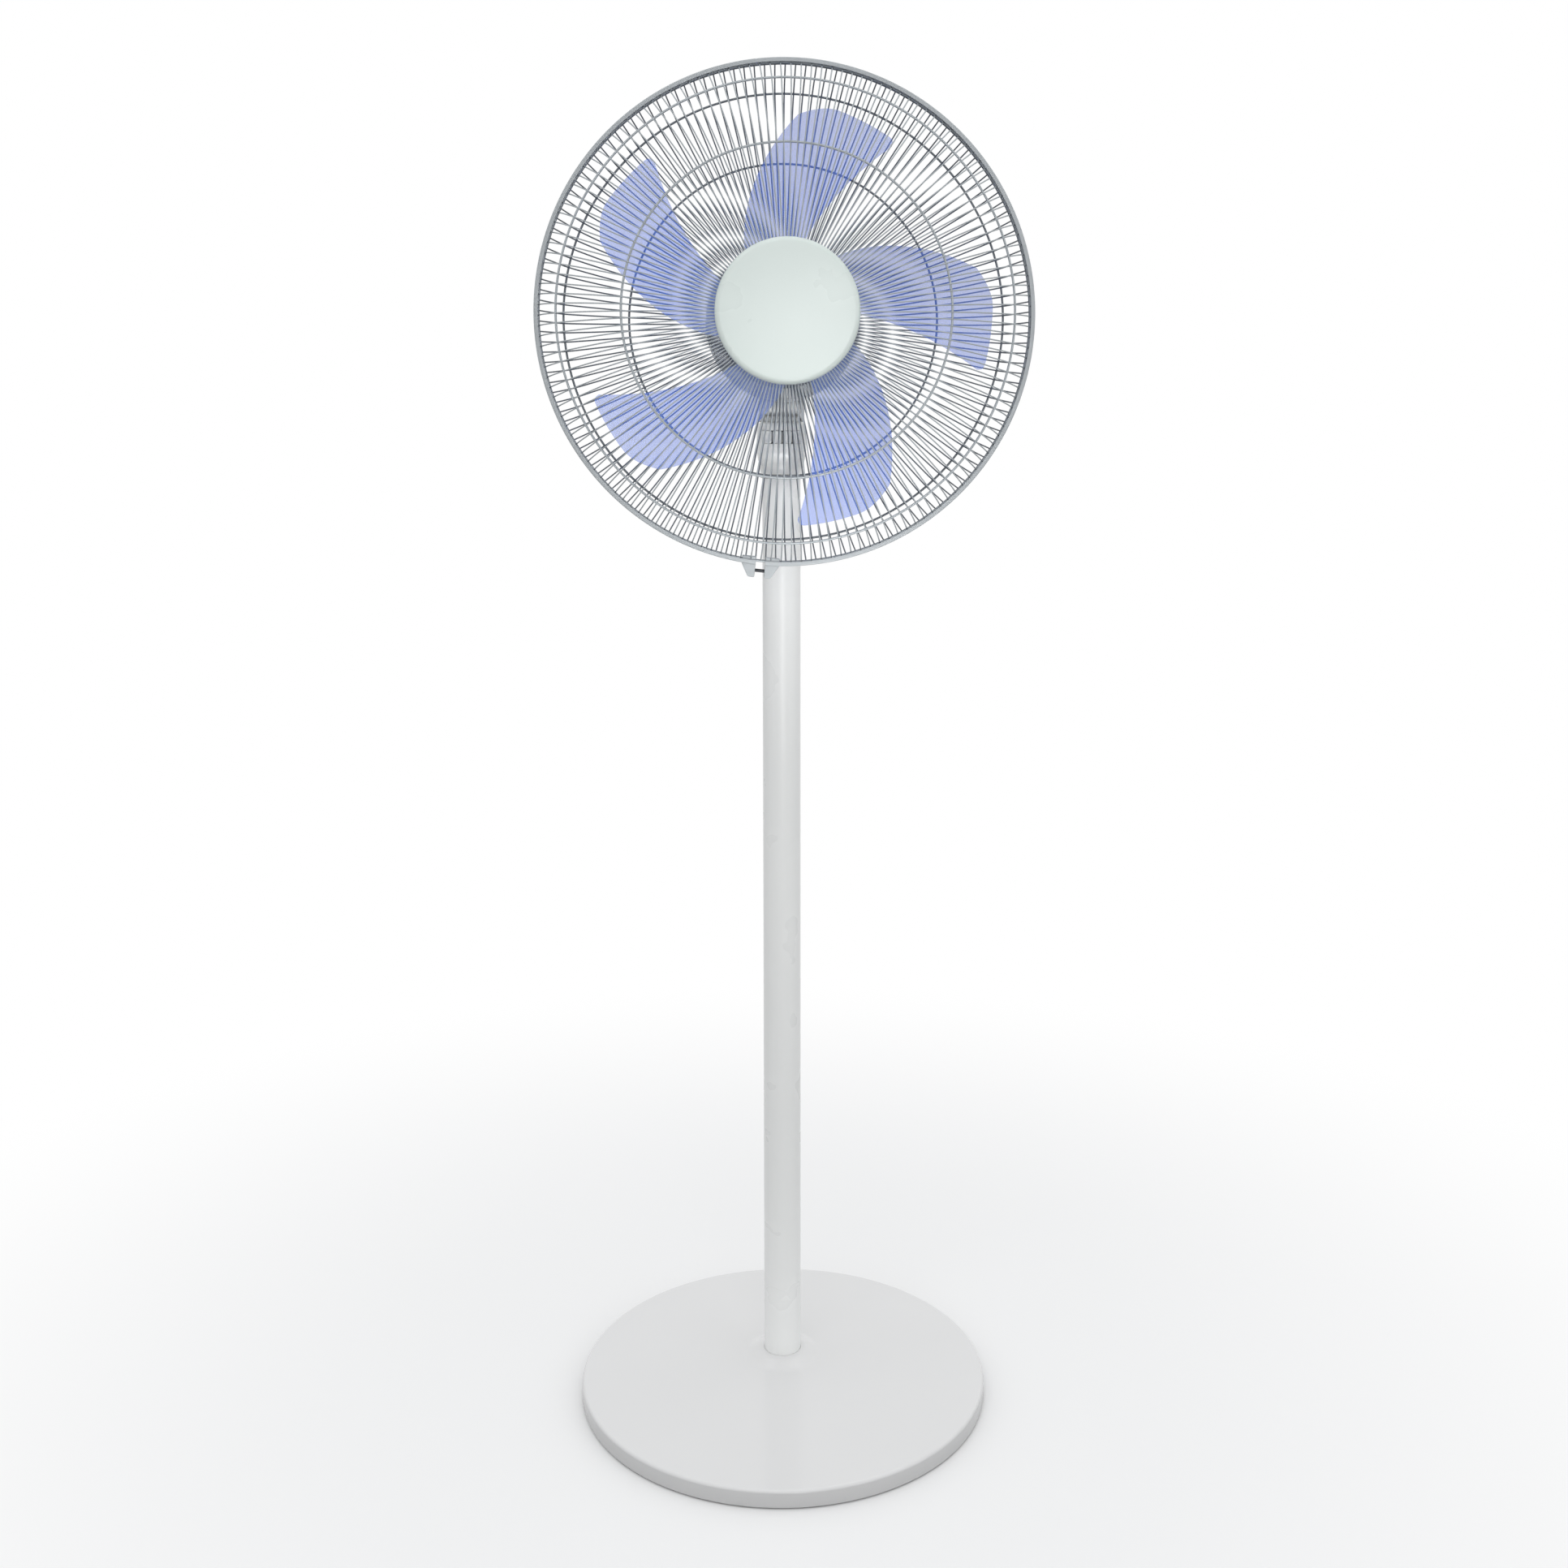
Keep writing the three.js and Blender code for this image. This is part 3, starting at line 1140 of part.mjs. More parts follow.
function makeCap() {
  const skirt = rimPlane + frontHubReach + wireRadius + gap;
  const edge = arc(capRadius - capEdgeRadius, capFace - capEdgeRadius, capEdgeRadius, 90, 0, 3);
  const inside = capEdgeRadius - capWall;
  const innerEdge = arc(capRadius - capEdgeRadius, capFace - capEdgeRadius, inside, 0, 90, 1);
  const body = turned([[0, capFace + capCrown], ...edge, [capRadius, skirt], [capRadius - capWall, skirt],
    ...innerEdge, [0, capFace - capWall]], wideSides);
  const post = rod(capPostRadius, backFront + gap, capFace - capWall / 2, smallSides);
  const bore = rod(capScrewRadius + gap, backFront - overrun, backFront + capScrewLength, tinySides);
  return cut(join(body, post), bore);
}

function makeCapBack() {
  const low = backFront - capBackThickness;
  return tube(capBackRadius, capScrewRadius + gap, low, backFront);
}

function makeCapScrew() {
  const seat = backFront - capBackThickness - gap;
  const screwHead = rod(capScrewHeadRadius, seat - capScrewHeadHeight, seat, smallSides);
  return join(screwHead, rod(capScrewRadius, seat - gap, seat + capScrewLength, tinySides));
}

piece(head, "guard_cap", makeCap(), finish.capWhite);
piece(head, "guard_cap_back", makeCapBack(), finish.nylon);
piece(head, "cap_screw", makeCapScrew(), finish.steel);

// Clip ring: a channel over both rims, split near the bottom between two lugs and drawn up by a screw.
const clipTurn = THREE.MathUtils.degToRad(-clipGapAngle);
const clipOuterRadius = rimRadius + rimWireRadius + clipSlack + clipWall;
const lugRoot = clipOuterRadius - clipWall / 2;
const screwRadiusPlace = clipOuterRadius + clipScrewReach;
const lugOuter = clipGap / 2 + lugWidth;
const lugSeatPlace = clipGap / 2 + lugSeat;

function makeLug(side) {
  const shape = new THREE.Shape();
  const near = (side * clipGap) / 2;
  const far = side * lugOuter;
  shape.moveTo(near, -lugRoot);
  shape.lineTo(near, -clipOuterRadius - lugLength);
  shape.lineTo(near + side * lugTipWidth, -clipOuterRadius - lugLength);
  shape.lineTo(far, -clipOuterRadius);
  shape.lineTo(far, -lugRoot);
  shape.closePath();
  const settings = { depth: lugThickness, bevelEnabled: false };
  return new THREE.ExtrudeGeometry(shape, settings).translate(0, 0, rimPlane - lugThickness / 2);
}

function makeClipRing() {
  const half = clipWidth / 2;
  const inner = clipOuterRadius - clipWall;
  const lip = inner - clipLipReach;
  const channel = turned([[clipOuterRadius, rimPlane - half], [clipOuterRadius, rimPlane + half],
    [lip, rimPlane + half], [lip, rimPlane + half - clipWall], [inner, rimPlane + half - clipWall],
    [inner, rimPlane - half + clipWall], [lip, rimPlane - half + clipWall], [lip, rimPlane - half]], ringSides);
  const split = box(-clipGap / 2, clipGap / 2, -clipOuterRadius - overrun, -lip + clipWall,
    rimPlane - half - overrun, rimPlane + half + overrun);
  const bore = towardsX(rod(clipScrewRadius + gap, -lugOuter - overrun, lugOuter + overrun, tinySides));
  const headSink = rod(clipScrewHeadRadius + gap, -lugOuter - overrun, -lugSeatPlace, roundSides);
  const nutSink = rod(clipNutRadius + gap, lugSeatPlace, lugOuter + overrun, roundSides);
  const sinks = [towardsX(headSink), towardsX(nutSink)];
  const tools = [bore, ...sinks].map((tool) => tool.translate(0, -screwRadiusPlace, rimPlane));
  return cut(join(channel, makeLug(-1), makeLug(1)), split, ...tools).rotateZ(clipTurn);
}

function makeClipScrew() {
  const seat = -lugSeatPlace - gap;
  const screwHead = rod(clipScrewHeadRadius, seat - clipScrewHeadHeight, seat, smallSides);
  const end = lugSeatPlace + gap + clipNutHeight;
  const screw = join(screwHead, rod(clipScrewRadius, seat - gap, end, tinySides));
  return towardsX(screw).translate(0, -screwRadiusPlace, rimPlane).rotateZ(clipTurn);
}

function makeClipNut() {
  const low = lugSeatPlace + gap;
  const bore = rod(clipScrewRadius + gap, low - overrun, low + clipNutHeight + overrun, tinySides);
  const nut = towardsX(cut(hexagon(clipNutRadius, low, low + clipNutHeight), bore));
  return nut.translate(0, -screwRadiusPlace, rimPlane).rotateZ(clipTurn);
}

piece(head, "guard_clip_ring", makeClipRing(), finish.ringGrey);
piece(head, "clip_screw", makeClipScrew(), finish.darkSteel);
piece(head, "clip_nut", makeClipNut(), finish.darkSteel);

export default fan;
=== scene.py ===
import json
import math

import bpy
import bmesh
import mathutils
import numpy as np
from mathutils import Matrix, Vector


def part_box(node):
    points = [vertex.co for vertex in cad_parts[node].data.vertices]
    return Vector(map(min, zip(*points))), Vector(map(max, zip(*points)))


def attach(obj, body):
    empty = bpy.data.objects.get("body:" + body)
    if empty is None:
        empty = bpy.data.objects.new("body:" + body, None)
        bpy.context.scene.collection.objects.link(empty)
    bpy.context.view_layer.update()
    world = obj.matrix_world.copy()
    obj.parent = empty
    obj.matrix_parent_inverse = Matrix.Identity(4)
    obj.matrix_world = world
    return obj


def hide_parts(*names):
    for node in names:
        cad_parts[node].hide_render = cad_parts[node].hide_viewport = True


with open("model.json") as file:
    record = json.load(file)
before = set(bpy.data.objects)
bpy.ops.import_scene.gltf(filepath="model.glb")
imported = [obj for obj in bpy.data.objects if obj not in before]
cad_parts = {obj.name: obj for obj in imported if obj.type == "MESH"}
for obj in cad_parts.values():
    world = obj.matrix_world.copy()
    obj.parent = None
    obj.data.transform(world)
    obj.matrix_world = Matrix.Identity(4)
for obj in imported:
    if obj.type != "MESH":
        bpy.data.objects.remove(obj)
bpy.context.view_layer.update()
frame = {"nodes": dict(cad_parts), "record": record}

# A pedestal fan: fine skins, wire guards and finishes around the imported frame.
# Sizes below are millimetres in the frame's own axes: +Z up, the fan's front towards -Y.
mm = 0.001
record = frame["record"]
slotOf = {part["node"]: part["material_slot"] for part in record["subparts"]}
bodyOf = {node: body for body, nodes in record["behaviour"]["bodies"].items() for node in nodes}


def extent(node):
    # lowest and highest corner of a node, in millimetres
    low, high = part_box(node)
    return np.array(low) / mm, np.array(high) / mm


def middle(node, axis):
    low, high = extent(node)
    return (low[axis] + high[axis]) / 2


poleBack = middle("outer_tube", 1)  # the pole stands this far behind the base's centre
headHeight = middle("shaft", 2)  # the fan's axis above the floor
poleLow, poleHigh = (corner[2] for corner in extent("outer_tube"))
print("frame loaded: pole", round(poleBack, 1), "mm back, fan axis", round(headHeight, 1), "mm up")


# Meshes from grids of points

def atBase(points):
    return points


def atPole(points):
    # x and y from the pole's axis, z from the floor
    return points + np.array([0, poleBack, 0])


def atHead(points):
    # x to the right, y up and z ahead, all from where the pan axis meets the fan's axis
    return np.stack([points[..., 0], poleBack - points[..., 2], headHeight + points[..., 1]], -1)


def gridFaces(rows, columns, around=True, along=False):
    # four-sided faces between neighbouring points; around and along join the last column or row to the first
    i = np.arange(rows if along else rows - 1)
    j = np.arange(columns if around else columns - 1)
    i, j = np.meshgrid(i, j, indexing="ij")
    nextRow, nextColumn = (i + 1) % rows, (j + 1) % columns
    corners = [i * columns + j, i * columns + nextColumn, nextRow * columns + nextColumn, nextRow * columns + j]
    return np.stack(corners, -1).reshape(-1, 4)


def shell(grid, around=True, along=False, ends=True):
    # one skin from a grid of rows of points; open ends of a tube get a flat face each
    rows, columns = grid.shape[:2]
    faces = gridFaces(rows, columns, around, along).tolist()
    if ends and around and not along:
        faces += [list(range(columns))[::-1], list(range((rows - 1) * columns, rows * columns))]
    return grid.reshape(-1, 3), faces


def joined(shells):
    points, faces, first = [], [], 0
    for shellPoints, shellFaces in shells:
        points.append(shellPoints)
        faces += [[corner + first for corner in face] for face in shellFaces]
        first += len(shellPoints)
    return np.concatenate(points), faces


def outwardMesh(name, shells, merge=True):
    # one mesh from shells in millimetres, already in the frame's axes, with its faces turned outwards
    points, faces = joined(shells)
    mesh = bpy.data.meshes.new(name)
    mesh.from_pydata((points * mm).tolist(), [], faces)
    work = bmesh.new()
    work.from_mesh(mesh)
    if merge:
        bmesh.ops.remove_doubles(work, verts=work.verts, dist=0.002 * mm)
        bmesh.ops.dissolve_degenerate(work, edges=work.edges, dist=0.001 * mm)
    bmesh.ops.recalc_face_normals(work, faces=work.faces)
    work.to_mesh(mesh)
    work.free()
    return mesh


def smooth(mesh, sharp):
    # smooth shading with edges left sharp above an angle in degrees
    mesh.polygons.foreach_set("use_smooth", np.ones(len(mesh.polygons), bool))
    mesh.set_sharp_from_angle(angle=math.radians(sharp))


def addObject(name, data):
    thing = bpy.data.objects.new(name, data)
    bpy.context.scene.collection.objects.link(thing)
    return thing


def standIn(node, shells, sharp=38, merge=True):
    # a finer piece in the place of one node, on its body and with its finish
    name, body, slot = node + "_fine", bodyOf[node], slotOf[node]
    mesh = outwardMesh(name, shells, merge)
    smooth(mesh, sharp)
    mesh.materials.append(finishes[slot])
    piece = addObject(name, mesh)
    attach(piece, body)
    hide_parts(node)
    return piece


def moved(made, x=0, y=0):
    points, faces = made
    return points + np.array([x, y, 0]), faces


# Outlines

def rounded(corners, closed=False, steps=6):
    # corners are (across, up, reach): each is drawn round by a parabola that leaves its two sides at
    # reach from the corner, at (1-t)^2 a + 2t(1-t) corner + t^2 b
    corners = np.array(corners, float)
    places, reaches = corners[:, :2], corners[:, 2]
    outline = []
    for k, place in enumerate(places):
        inner = closed or 0 < k < len(places) - 1
        if not inner or reaches[k] == 0:
            outline.append(place[None])
            continue
        before, after = places[k - 1], places[(k + 1) % len(places)]
        a = place + (before - place) * reaches[k] / np.linalg.norm(before - place)
        b = place + (after - place) * reaches[k] / np.linalg.norm(after - place)
        t = np.linspace(0, 1, steps + 1)[:, None]
        outline.append((1 - t) ** 2 * a + 2 * t * (1 - t) * place + t**2 * b)
    return np.concatenate(outline)


def turned(outline, sides=96, start=0.0, sweep=360.0):
    # an outline of radius and height carried round the axis: (r cos a, r sin a, h)
    whole = sweep >= 360
    angles = np.radians(start + np.linspace(0, sweep, sides, endpoint=not whole))
    radius, height = outline[:, :1], outline[:, 1:2]
    return np.stack([radius * np.cos(angles), radius * np.sin(angles), height + 0 * angles], -1)


def turnedShell(corners, place, closed=False, sides=96, steps=6):
    # a turned solid: its outline starts and ends on the axis, or closes on itself
    grid = turned(rounded(corners, closed, steps), sides)
    return shell(place(grid), along=closed, ends=False)


def hexagon(radius):
    a = np.radians(np.arange(6) * 60)
    return radius * np.column_stack([np.cos(a), np.sin(a)])


def spun(points, turn):
    # turned in the plane of the first two axes: x cos t - y sin t and x sin t + y cos t
    x, y = points[..., 0], points[..., 1]
    rest = [points[..., axis] for axis in range(2, points.shape[-1])]
    return np.stack([x * np.cos(turn) - y * np.sin(turn), x * np.sin(turn) + y * np.cos(turn), *rest], -1)


# Materials

def linear(hexColour):
    # sRGB hex to linear light: ((c + 0.055) / 1.055) to the power 2.4, or c / 12.92 where it is dark
    channels = np.array([int(hexColour[i:i + 2], 16) for i in (1, 3, 5)]) / 255
    bright = ((channels + 0.055) / 1.055) ** 2.4
    return (*np.where(channels <= 0.04045, channels / 12.92, bright), 1.0)


def addNode(tree, kind, inputs=None, **settings):
    # adds a node, sets its properties, and fills its sockets with values or with other nodes' outputs
    node = tree.nodes.new(kind)
    for key, value in settings.items():
        setattr(node, key, value)
    for key, value in (inputs or {}).items():
        if isinstance(value, bpy.types.NodeSocket):
            tree.links.new(value, node.inputs[key])
        else:
            node.inputs[key].default_value = value
    return node


def startMaterial(name, colour, roughness, metallic=0.0, ior=1.5):
    material = bpy.data.materials.new(name)
    material.use_nodes = True
    tree = material.node_tree
    shader = tree.nodes["Principled BSDF"]
    shader.inputs["Base Color"].default_value = linear(colour)
    shader.inputs["Roughness"].default_value = roughness
    shader.inputs["Metallic"].default_value = metallic
    if not metallic:
        shader.inputs["IOR"].default_value = ior
    return material, tree, shader


def noiseOf(tree, sizeMm, detail=2.0, stretch=(1, 1, 1)):
    # noise with features of a real size in millimetres, on the piece's own coordinates
    place = addNode(tree, "ShaderNodeTexCoord").outputs["Object"]
    place = addNode(tree, "ShaderNodeMapping", {"Vector": place, "Scale": stretch}).outputs["Vector"]
    settings = {"Vector": place, "Scale": 1 / (sizeMm * mm), "Detail": detail}
    return addNode(tree, "ShaderNodeTexNoise", settings).outputs["Fac"]


def mottle(tree, shader, dark, pale, sizeMm, stretch=(1, 1, 1)):
    # the colour drifts between two near shades
    span = {"Value": noiseOf(tree, sizeMm, 3.0, stretch), "From Min": 0.1, "From Max": 0.9}
    fac = addNode(tree, "ShaderNodeMapRange", span).outputs["Result"]
    mix = addNode(tree, "ShaderNodeMix", {0: fac, 6: linear(dark), 7: linear(pale)}, data_type="RGBA")
    tree.links.new(mix.outputs[2], shader.inputs["Base Color"])


def vary(tree, shader, low, high, sizeMm):
    # the roughness drifts between two values
    span = {"Value": noiseOf(tree, sizeMm, 3.0), "From Min": 0.3, "From Max": 0.7, "To Min": low, "To Max": high}
    tree.links.new(addNode(tree, "ShaderNodeMapRange", span).outputs["Result"], shader.inputs["Roughness"])


def grain(tree, shader, sizeMm, heightMm, detail=1.0, stretch=(1, 1, 1)):
    # fine relief of a real height
    fac = noiseOf(tree, sizeMm, detail, stretch)
    bump = addNode(tree, "ShaderNodeBump", {"Height": fac, "Strength": 1.0, "Distance": heightMm * mm})
    tree.links.new(bump.outputs["Normal"], shader.inputs["Normal"])


def surface(name, tones, roughness, sizes, reliefMm, detail=1.0, metallic=0.0, ior=1.5, stretch=(1, 1, 1)):
    # colour and roughness drift between two values each; sizes in millimetres of the colour's drift,
    # the roughness's drift and the relief
    material, tree, shader = startMaterial(name, tones[1], roughness[0], metallic, ior)
    mottle(tree, shader, *tones, sizes[0], stretch)
    vary(tree, shader, *roughness, sizes[1])
    grain(tree, shader, sizes[2], reliefMm, detail, stretch)
    return material


def glossPlastic(name, dark, pale, low, high, reliefMm):
    # moulded ABS: an even body colour, a soft gloss and the faint ripple of a polished mould
    return surface(name, (dark, pale), (low, high), (90, 40, 6), reliefMm, ior=1.54)


def powderCoat(name, dark, pale, low, high):
    # baked powder coat on steel: pale and smooth with a fine orange peel that breaks up highlights
    return surface(name, (dark, pale), (low, high), (150, 60, 2.5), 0.006, 2.0)


def bareMetal(name, dark, pale, low, high, reliefMm, grainMm):
    # plated or cast metal: its tone and roughness drift, and the relief is the tool's or the mould's
    return surface(name, (dark, pale), (low, high), (grainMm * 6, grainMm * 4, grainMm), reliefMm, 3.0, metallic=1.0)


def mattPlastic(name, dark, pale, low, high, grainMm=0.8, reliefMm=0.02):
    # moulded plastic or rubber with a spark-eroded matt texture
    return surface(name, (dark, pale), (low, high), (20, 8, grainMm), reliefMm, 3.0)


def guardWire(name, dark, pale):
    # drawn steel wire, dipped in grey polyester: a satin skin with pinholes too fine to see
    return surface(name, (dark, pale), (0.3, 0.42), (40, 15, 1.2), 0.008, 2.0, metallic=0.2)


def ringPlastic(name, dark, pale):
    # grey polypropylene strip, extruded
    return surface(name, (dark, pale), (0.34, 0.46), (50, 20, 1.5), 0.012, 2.0, ior=1.49)


def castConcrete(name, dark, pale):
    # cement weight in its mould: chalky, pitted and with darker grit
    return surface(name, (dark, pale), (0.82, 0.95), (5, 4, 2), 0.25, 5.0)


def laminatedSteel(name, dark, pale):
    # a stack of electrical sheets with varnished edges, drawn 1 mm apart so that it shows
    return surface(name, (dark, pale), (0.4, 0.6), (1.0, 4, 1.0), 0.05, metallic=0.8, stretch=(0.02, 1, 0.02))


# hub and tip are painted light: the pale hub for the lit white motor cover behind, the pale tips for light through
# the plastic
bladeTintAndPaintedLight = dict(hub="#A3BEFB", middle="#4386FC", tip="#82A6FF", paintedHubLightShare=0.2, middleShare=0.5, hubRadius=30,
                 tipRadius=187, drift=0.12, driftSize=60, roughness=(0.14, 0.2), alpha=0.37)


def bladePlastic(name):
    # clear blue AS copolymer, injection moulded, with a hard gloss: its tint goes from pale at the hub
    # over deep blue to pale again at the tips, with the distance from the fan's axis; the pale hub and tips
    # are painted light, for the lit white motor cover seen through the blade and for light through the plastic
    tint = bladeTintAndPaintedLight
    material, tree, shader = startMaterial(name, tint["middle"], tint["roughness"][0], ior=1.57)
    place = addNode(tree, "ShaderNodeTexCoord").outputs["Object"]
    place = addNode(tree, "ShaderNodeVectorMath", {0: place, 1: (0, 0, headHeight * mm)}, operation="SUBTRACT")
    place = addNode(tree, "ShaderNodeVectorMath", {0: place.outputs[0], 1: (1, 0, 1)}, operation="MULTIPLY")
    radius = addNode(tree, "ShaderNodeVectorMath", {0: place.outputs[0]}, operation="LENGTH").outputs["Value"]
    span = {"Value": radius, "From Min": tint["hubRadius"] * mm, "From Max": tint["tipRadius"] * mm}
    share = addNode(tree, "ShaderNodeMapRange", span).outputs["Result"]
    drift = {0: noiseOf(tree, tint["driftSize"], 3.0), 1: tint["drift"], 2: share}
    share = addNode(tree, "ShaderNodeMath", drift, operation="MULTIPLY_ADD")
    # the ramp paints light: pale at the hub and the tips, deep blue between
    ramp = addNode(tree, "ShaderNodeValToRGB", {"Fac": share.outputs[0]})
    stops = ramp.color_ramp.elements
    stops[0].position, stops[0].color = tint["paintedHubLightShare"], linear(tint["hub"])
    stops[1].position, stops[1].color = 1.0, linear(tint["tip"])
    stops.new(tint["middleShare"]).color = linear(tint["middle"])
    tree.links.new(ramp.outputs["Color"], shader.inputs["Base Color"])
    vary(tree, shader, *tint["roughness"], 40)
    grain(tree, shader, 9, 0.012)
    shader.inputs["Alpha"].default_value = tint["alpha"]
    return material


finishes = {
    "base_enamel": powderCoat("base cover enamel", "#DDDDDD", "#E0E0E0", 0.1, 0.14),
    "pole_enamel": powderCoat("pole powder coat", "#EDEEED", "#F0F1F0", 0.26, 0.32),
    "neck_enamel": powderCoat("neck powder coat", "#EFF0EE", "#F2F3F1", 0.3, 0.38),
    "housing_plastic": glossPlastic("white ABS housing", "#F2F3F1", "#F5F6F4", 0.24, 0.3, 0.008),
    "cap_plastic": glossPlastic("pale ABS cap", "#D7E1DD", "#DAE4E0", 0.26, 0.3, 0.004),
    "blade_plastic": bladePlastic("clear blue AS blades"),
    # both guards share one grey coating: the front wires are painted paler, as lit from the front, and the rear
    # wires darker, as painted shade
    "guard_wire": guardWire("grey coated guard wire", "#9CA2A6", "#A8AEB2"),
    "rear_guard_wire": guardWire("rear guard wire with painted shade", "#646A70", "#70767C"),
    "ring_plastic": ringPlastic("grey polypropylene ring", "#A8ADB0", "#B2B7BA"),
    "steel": bareMetal("bright zinc plated steel", "#9FA2A4", "#B4B6B8", 0.25, 0.4, 0.01, 1.2),
    "dark_steel": bareMetal("black oxide steel", "#303134", "#45474A", 0.35, 0.5, 0.01, 1.2),
    "chrome": bareMetal("chromed steel", "#C4C6C8", "#D2D4D6", 0.08, 0.16, 0.004, 3),
    "cast_metal": bareMetal("die cast aluminium", "#A2A4A5", "#BABCBC", 0.42, 0.6, 0.05, 1.5),
    "laminations": laminatedSteel("stator laminations", "#4A4643", "#6C6764"),
    "brass": bareMetal("sintered bronze bush", "#9C7A48", "#B99459", 0.35, 0.5, 0.02, 0.8),
    "nylon": mattPlastic("natural nylon", "#D0D0C8", "#DDDDD6", 0.4, 0.55),
    "black_plastic": mattPlastic("black phenolic", "#1E1F20", "#2A2B2C", 0.45, 0.6),
    "rubber": mattPlastic("black rubber", "#202021", "#2C2C2D", 0.7, 0.85, 1.0, 0.04),
    "concrete": castConcrete("cast cement weight", "#77756F", "#A09E98"),
}
print("materials made:", len(finishes))

for node, piece in frame["nodes"].items():
    piece.data.materials.clear()
    piece.data.materials.append(finishes[slotOf[node]])
print("finishes on", len(frame["nodes"]), "carried nodes")


# More shapes

def bake(piece):
    # the piece's modifiers become part of its mesh
    graph = bpy.context.evaluated_depsgraph_get()
    made = bpy.data.meshes.new_from_object(piece.evaluated_get(graph), depsgraph=graph)
    piece.modifiers.clear()
    old, piece.data = piece.data, made
    bpy.data.meshes.remove(old)
    made.name = piece.name


def thicken(piece, wall):
    # a wall inwards from the skin
    piece.modifiers.new("wall", "SOLIDIFY").thickness = wall * mm
    piece.modifiers["wall"].offset = -1
    piece.modifiers["wall"].use_even_offset = True
    bake(piece)


def dropCrumbs(piece, fewest=40):
    # a cut can leave loose slivers behind: bodies of fewer faces than this are deleted
    work = bmesh.new()
    work.from_mesh(piece.data)
    left, crumbs = set(work.verts), []
    while left:
        body, front = [], [left.pop()]
        while front:
            vert = front.pop()
            body.append(vert)
            near = {edge.other_vert(vert) for edge in vert.link_edges} & left
            left -= near
            front.extend(near)
        if len({face for vert in body for face in vert.link_faces}) < fewest:
            crumbs += body
    bmesh.ops.delete(work, geom=crumbs, context="VERTS")
    work.to_mesh(piece.data)
    work.free()


def cutHoles(piece, tools, sharp=38):
    # takes closed shells out of the piece, then smooths it again
    mesh = outwardMesh("cutter", tools)
    cutter = addObject("cutter", mesh)
    bpy.context.view_layer.update()
    step = piece.modifiers.new("holes", "BOOLEAN")
    step.object, step.operation, step.solver, step.use_self = cutter, "DIFFERENCE", "EXACT", True
    bake(piece)
    dropCrumbs(piece)
    bpy.data.objects.remove(cutter)
    bpy.data.meshes.remove(mesh)
    smooth(piece.data, sharp)


def rectangle(halfWidth, halfHeight, corner, steps=6):
    # a rectangle with quarter-round corners: each corner's centre plus corner times (cos a, sin a)
    turns = np.radians(np.linspace(0, 90, steps + 1))
    outline = []
    for k, (sideX, sideY) in enumerate(((1, 1), (-1, 1), (-1, -1), (1, -1))):
        a = turns + k * np.pi / 2
        centre = [sideX * (halfWidth - corner), sideY * (halfHeight - corner)]
        outline.append(np.stack([centre[0] + corner * np.cos(a), centre[1] + corner * np.sin(a)], -1))
    return np.concatenate(outline)


def slabShell(outline, low, high, edge, place, dish=0.0, steps=4):
    # an outline pushed up from low to high with quarter-round edges: at turn t the outline is drawn in by
    # edge (1 - cos t) and stands edge (1 - sin t) short of the face; a dish sinks the upper face to its middle
    ahead, behind = np.roll(outline, -1, 0), np.roll(outline, 1, 0)
    along = ahead - behind
    normal = np.stack([along[:, 1], -along[:, 0]], -1)
    normal /= np.linalg.norm(normal, axis=1)[:, None]
    turn = np.radians(np.linspace(0, 90, steps + 1))
    drawn, short = edge * (1 - np.cos(turn)), edge * (1 - np.sin(turn))
    rows = [(d, low + s) for d, s in zip(drawn[::-1], short[::-1])] + [(d, high - s) for d, s in zip(drawn, short)]
    grid = np.stack([np.column_stack([outline - normal * d, np.full(len(outline), h)]) for d, h in rows])
    if dish:
        share = np.linspace(1, 0, 6)[1:, None, None]
        face = grid[-1][None, :, :2] * share + (1 - share) * outline.mean(0)
        depth = high - dish * (1 - share**2) + 0 * face[..., :1]
        grid = np.concatenate([grid, np.concatenate([face, depth], -1)])
        return shell(place(grid), ends=True)
    return shell(place(grid))


def gripShell(radius, count, depth, corners, place, closed=False, sides=144):
    # a turned grip whose radius waves in between its lobes by depth (1 - cos(count a)) / 2,
    # fading towards the axis with the cube of the radius
    outline = rounded(corners, closed)
    angles = np.linspace(0, 2 * np.pi, sides, endpoint=False)
    wave = depth * (1 - np.cos(count * angles)) / 2
    r = outline[:, :1] - wave * (outline[:, :1] / radius) ** 3
    grid = np.stack([r * np.cos(angles), r * np.sin(angles), outline[:, 1:2] + 0 * r], -1)
    return shell(place(grid), along=closed, ends=False)


def backwards(level):
    # a place for forms that run back from the pole's axis at a height: z becomes +Y
    def place(points):
        return np.stack([points[..., 0], poleBack + points[..., 2], level + points[..., 1]], -1)
    return place


def sideways(level):
    # a place for forms that run to the right across the pole's axis at a height: z becomes +X
    def place(points):
        return np.stack([points[..., 2], poleBack + points[..., 0], level + points[..., 1]], -1)
    return place


def forwards(level):
    # a place for forms that run forward from the pole's axis at a height: z becomes -Y
    def place(points):
        return np.stack([points[..., 0], poleBack - points[..., 2], level + points[..., 1]], -1)
    return place


# Base cover: a thin pressed disc, crowned, with a soft boss where the pole goes in
base = dict(radius=extent("base_cover")[1][0], top=18, crown=2, edge=3.2, skirt=1.5, wall=2.4,
            bossRadius=42, bossHeight=6, hole=18.9, sides=220, rows=60)


def coverHeight(x, y):
    # crown: falls with the square of the distance from the middle; boss: half a cosine wave round the pole
    flat = base["radius"] - base["edge"]
    fromMiddle = np.hypot(x, y) / flat
    fromPole = (np.hypot(x, y - poleBack) - base["hole"]) / (base["bossRadius"] - base["hole"])
    swell = (1 + np.cos(np.pi * np.clip(fromPole, 0, 1))) / 2
    return base["top"] + base["crown"] * (1 - fromMiddle**2) + base["bossHeight"] * swell


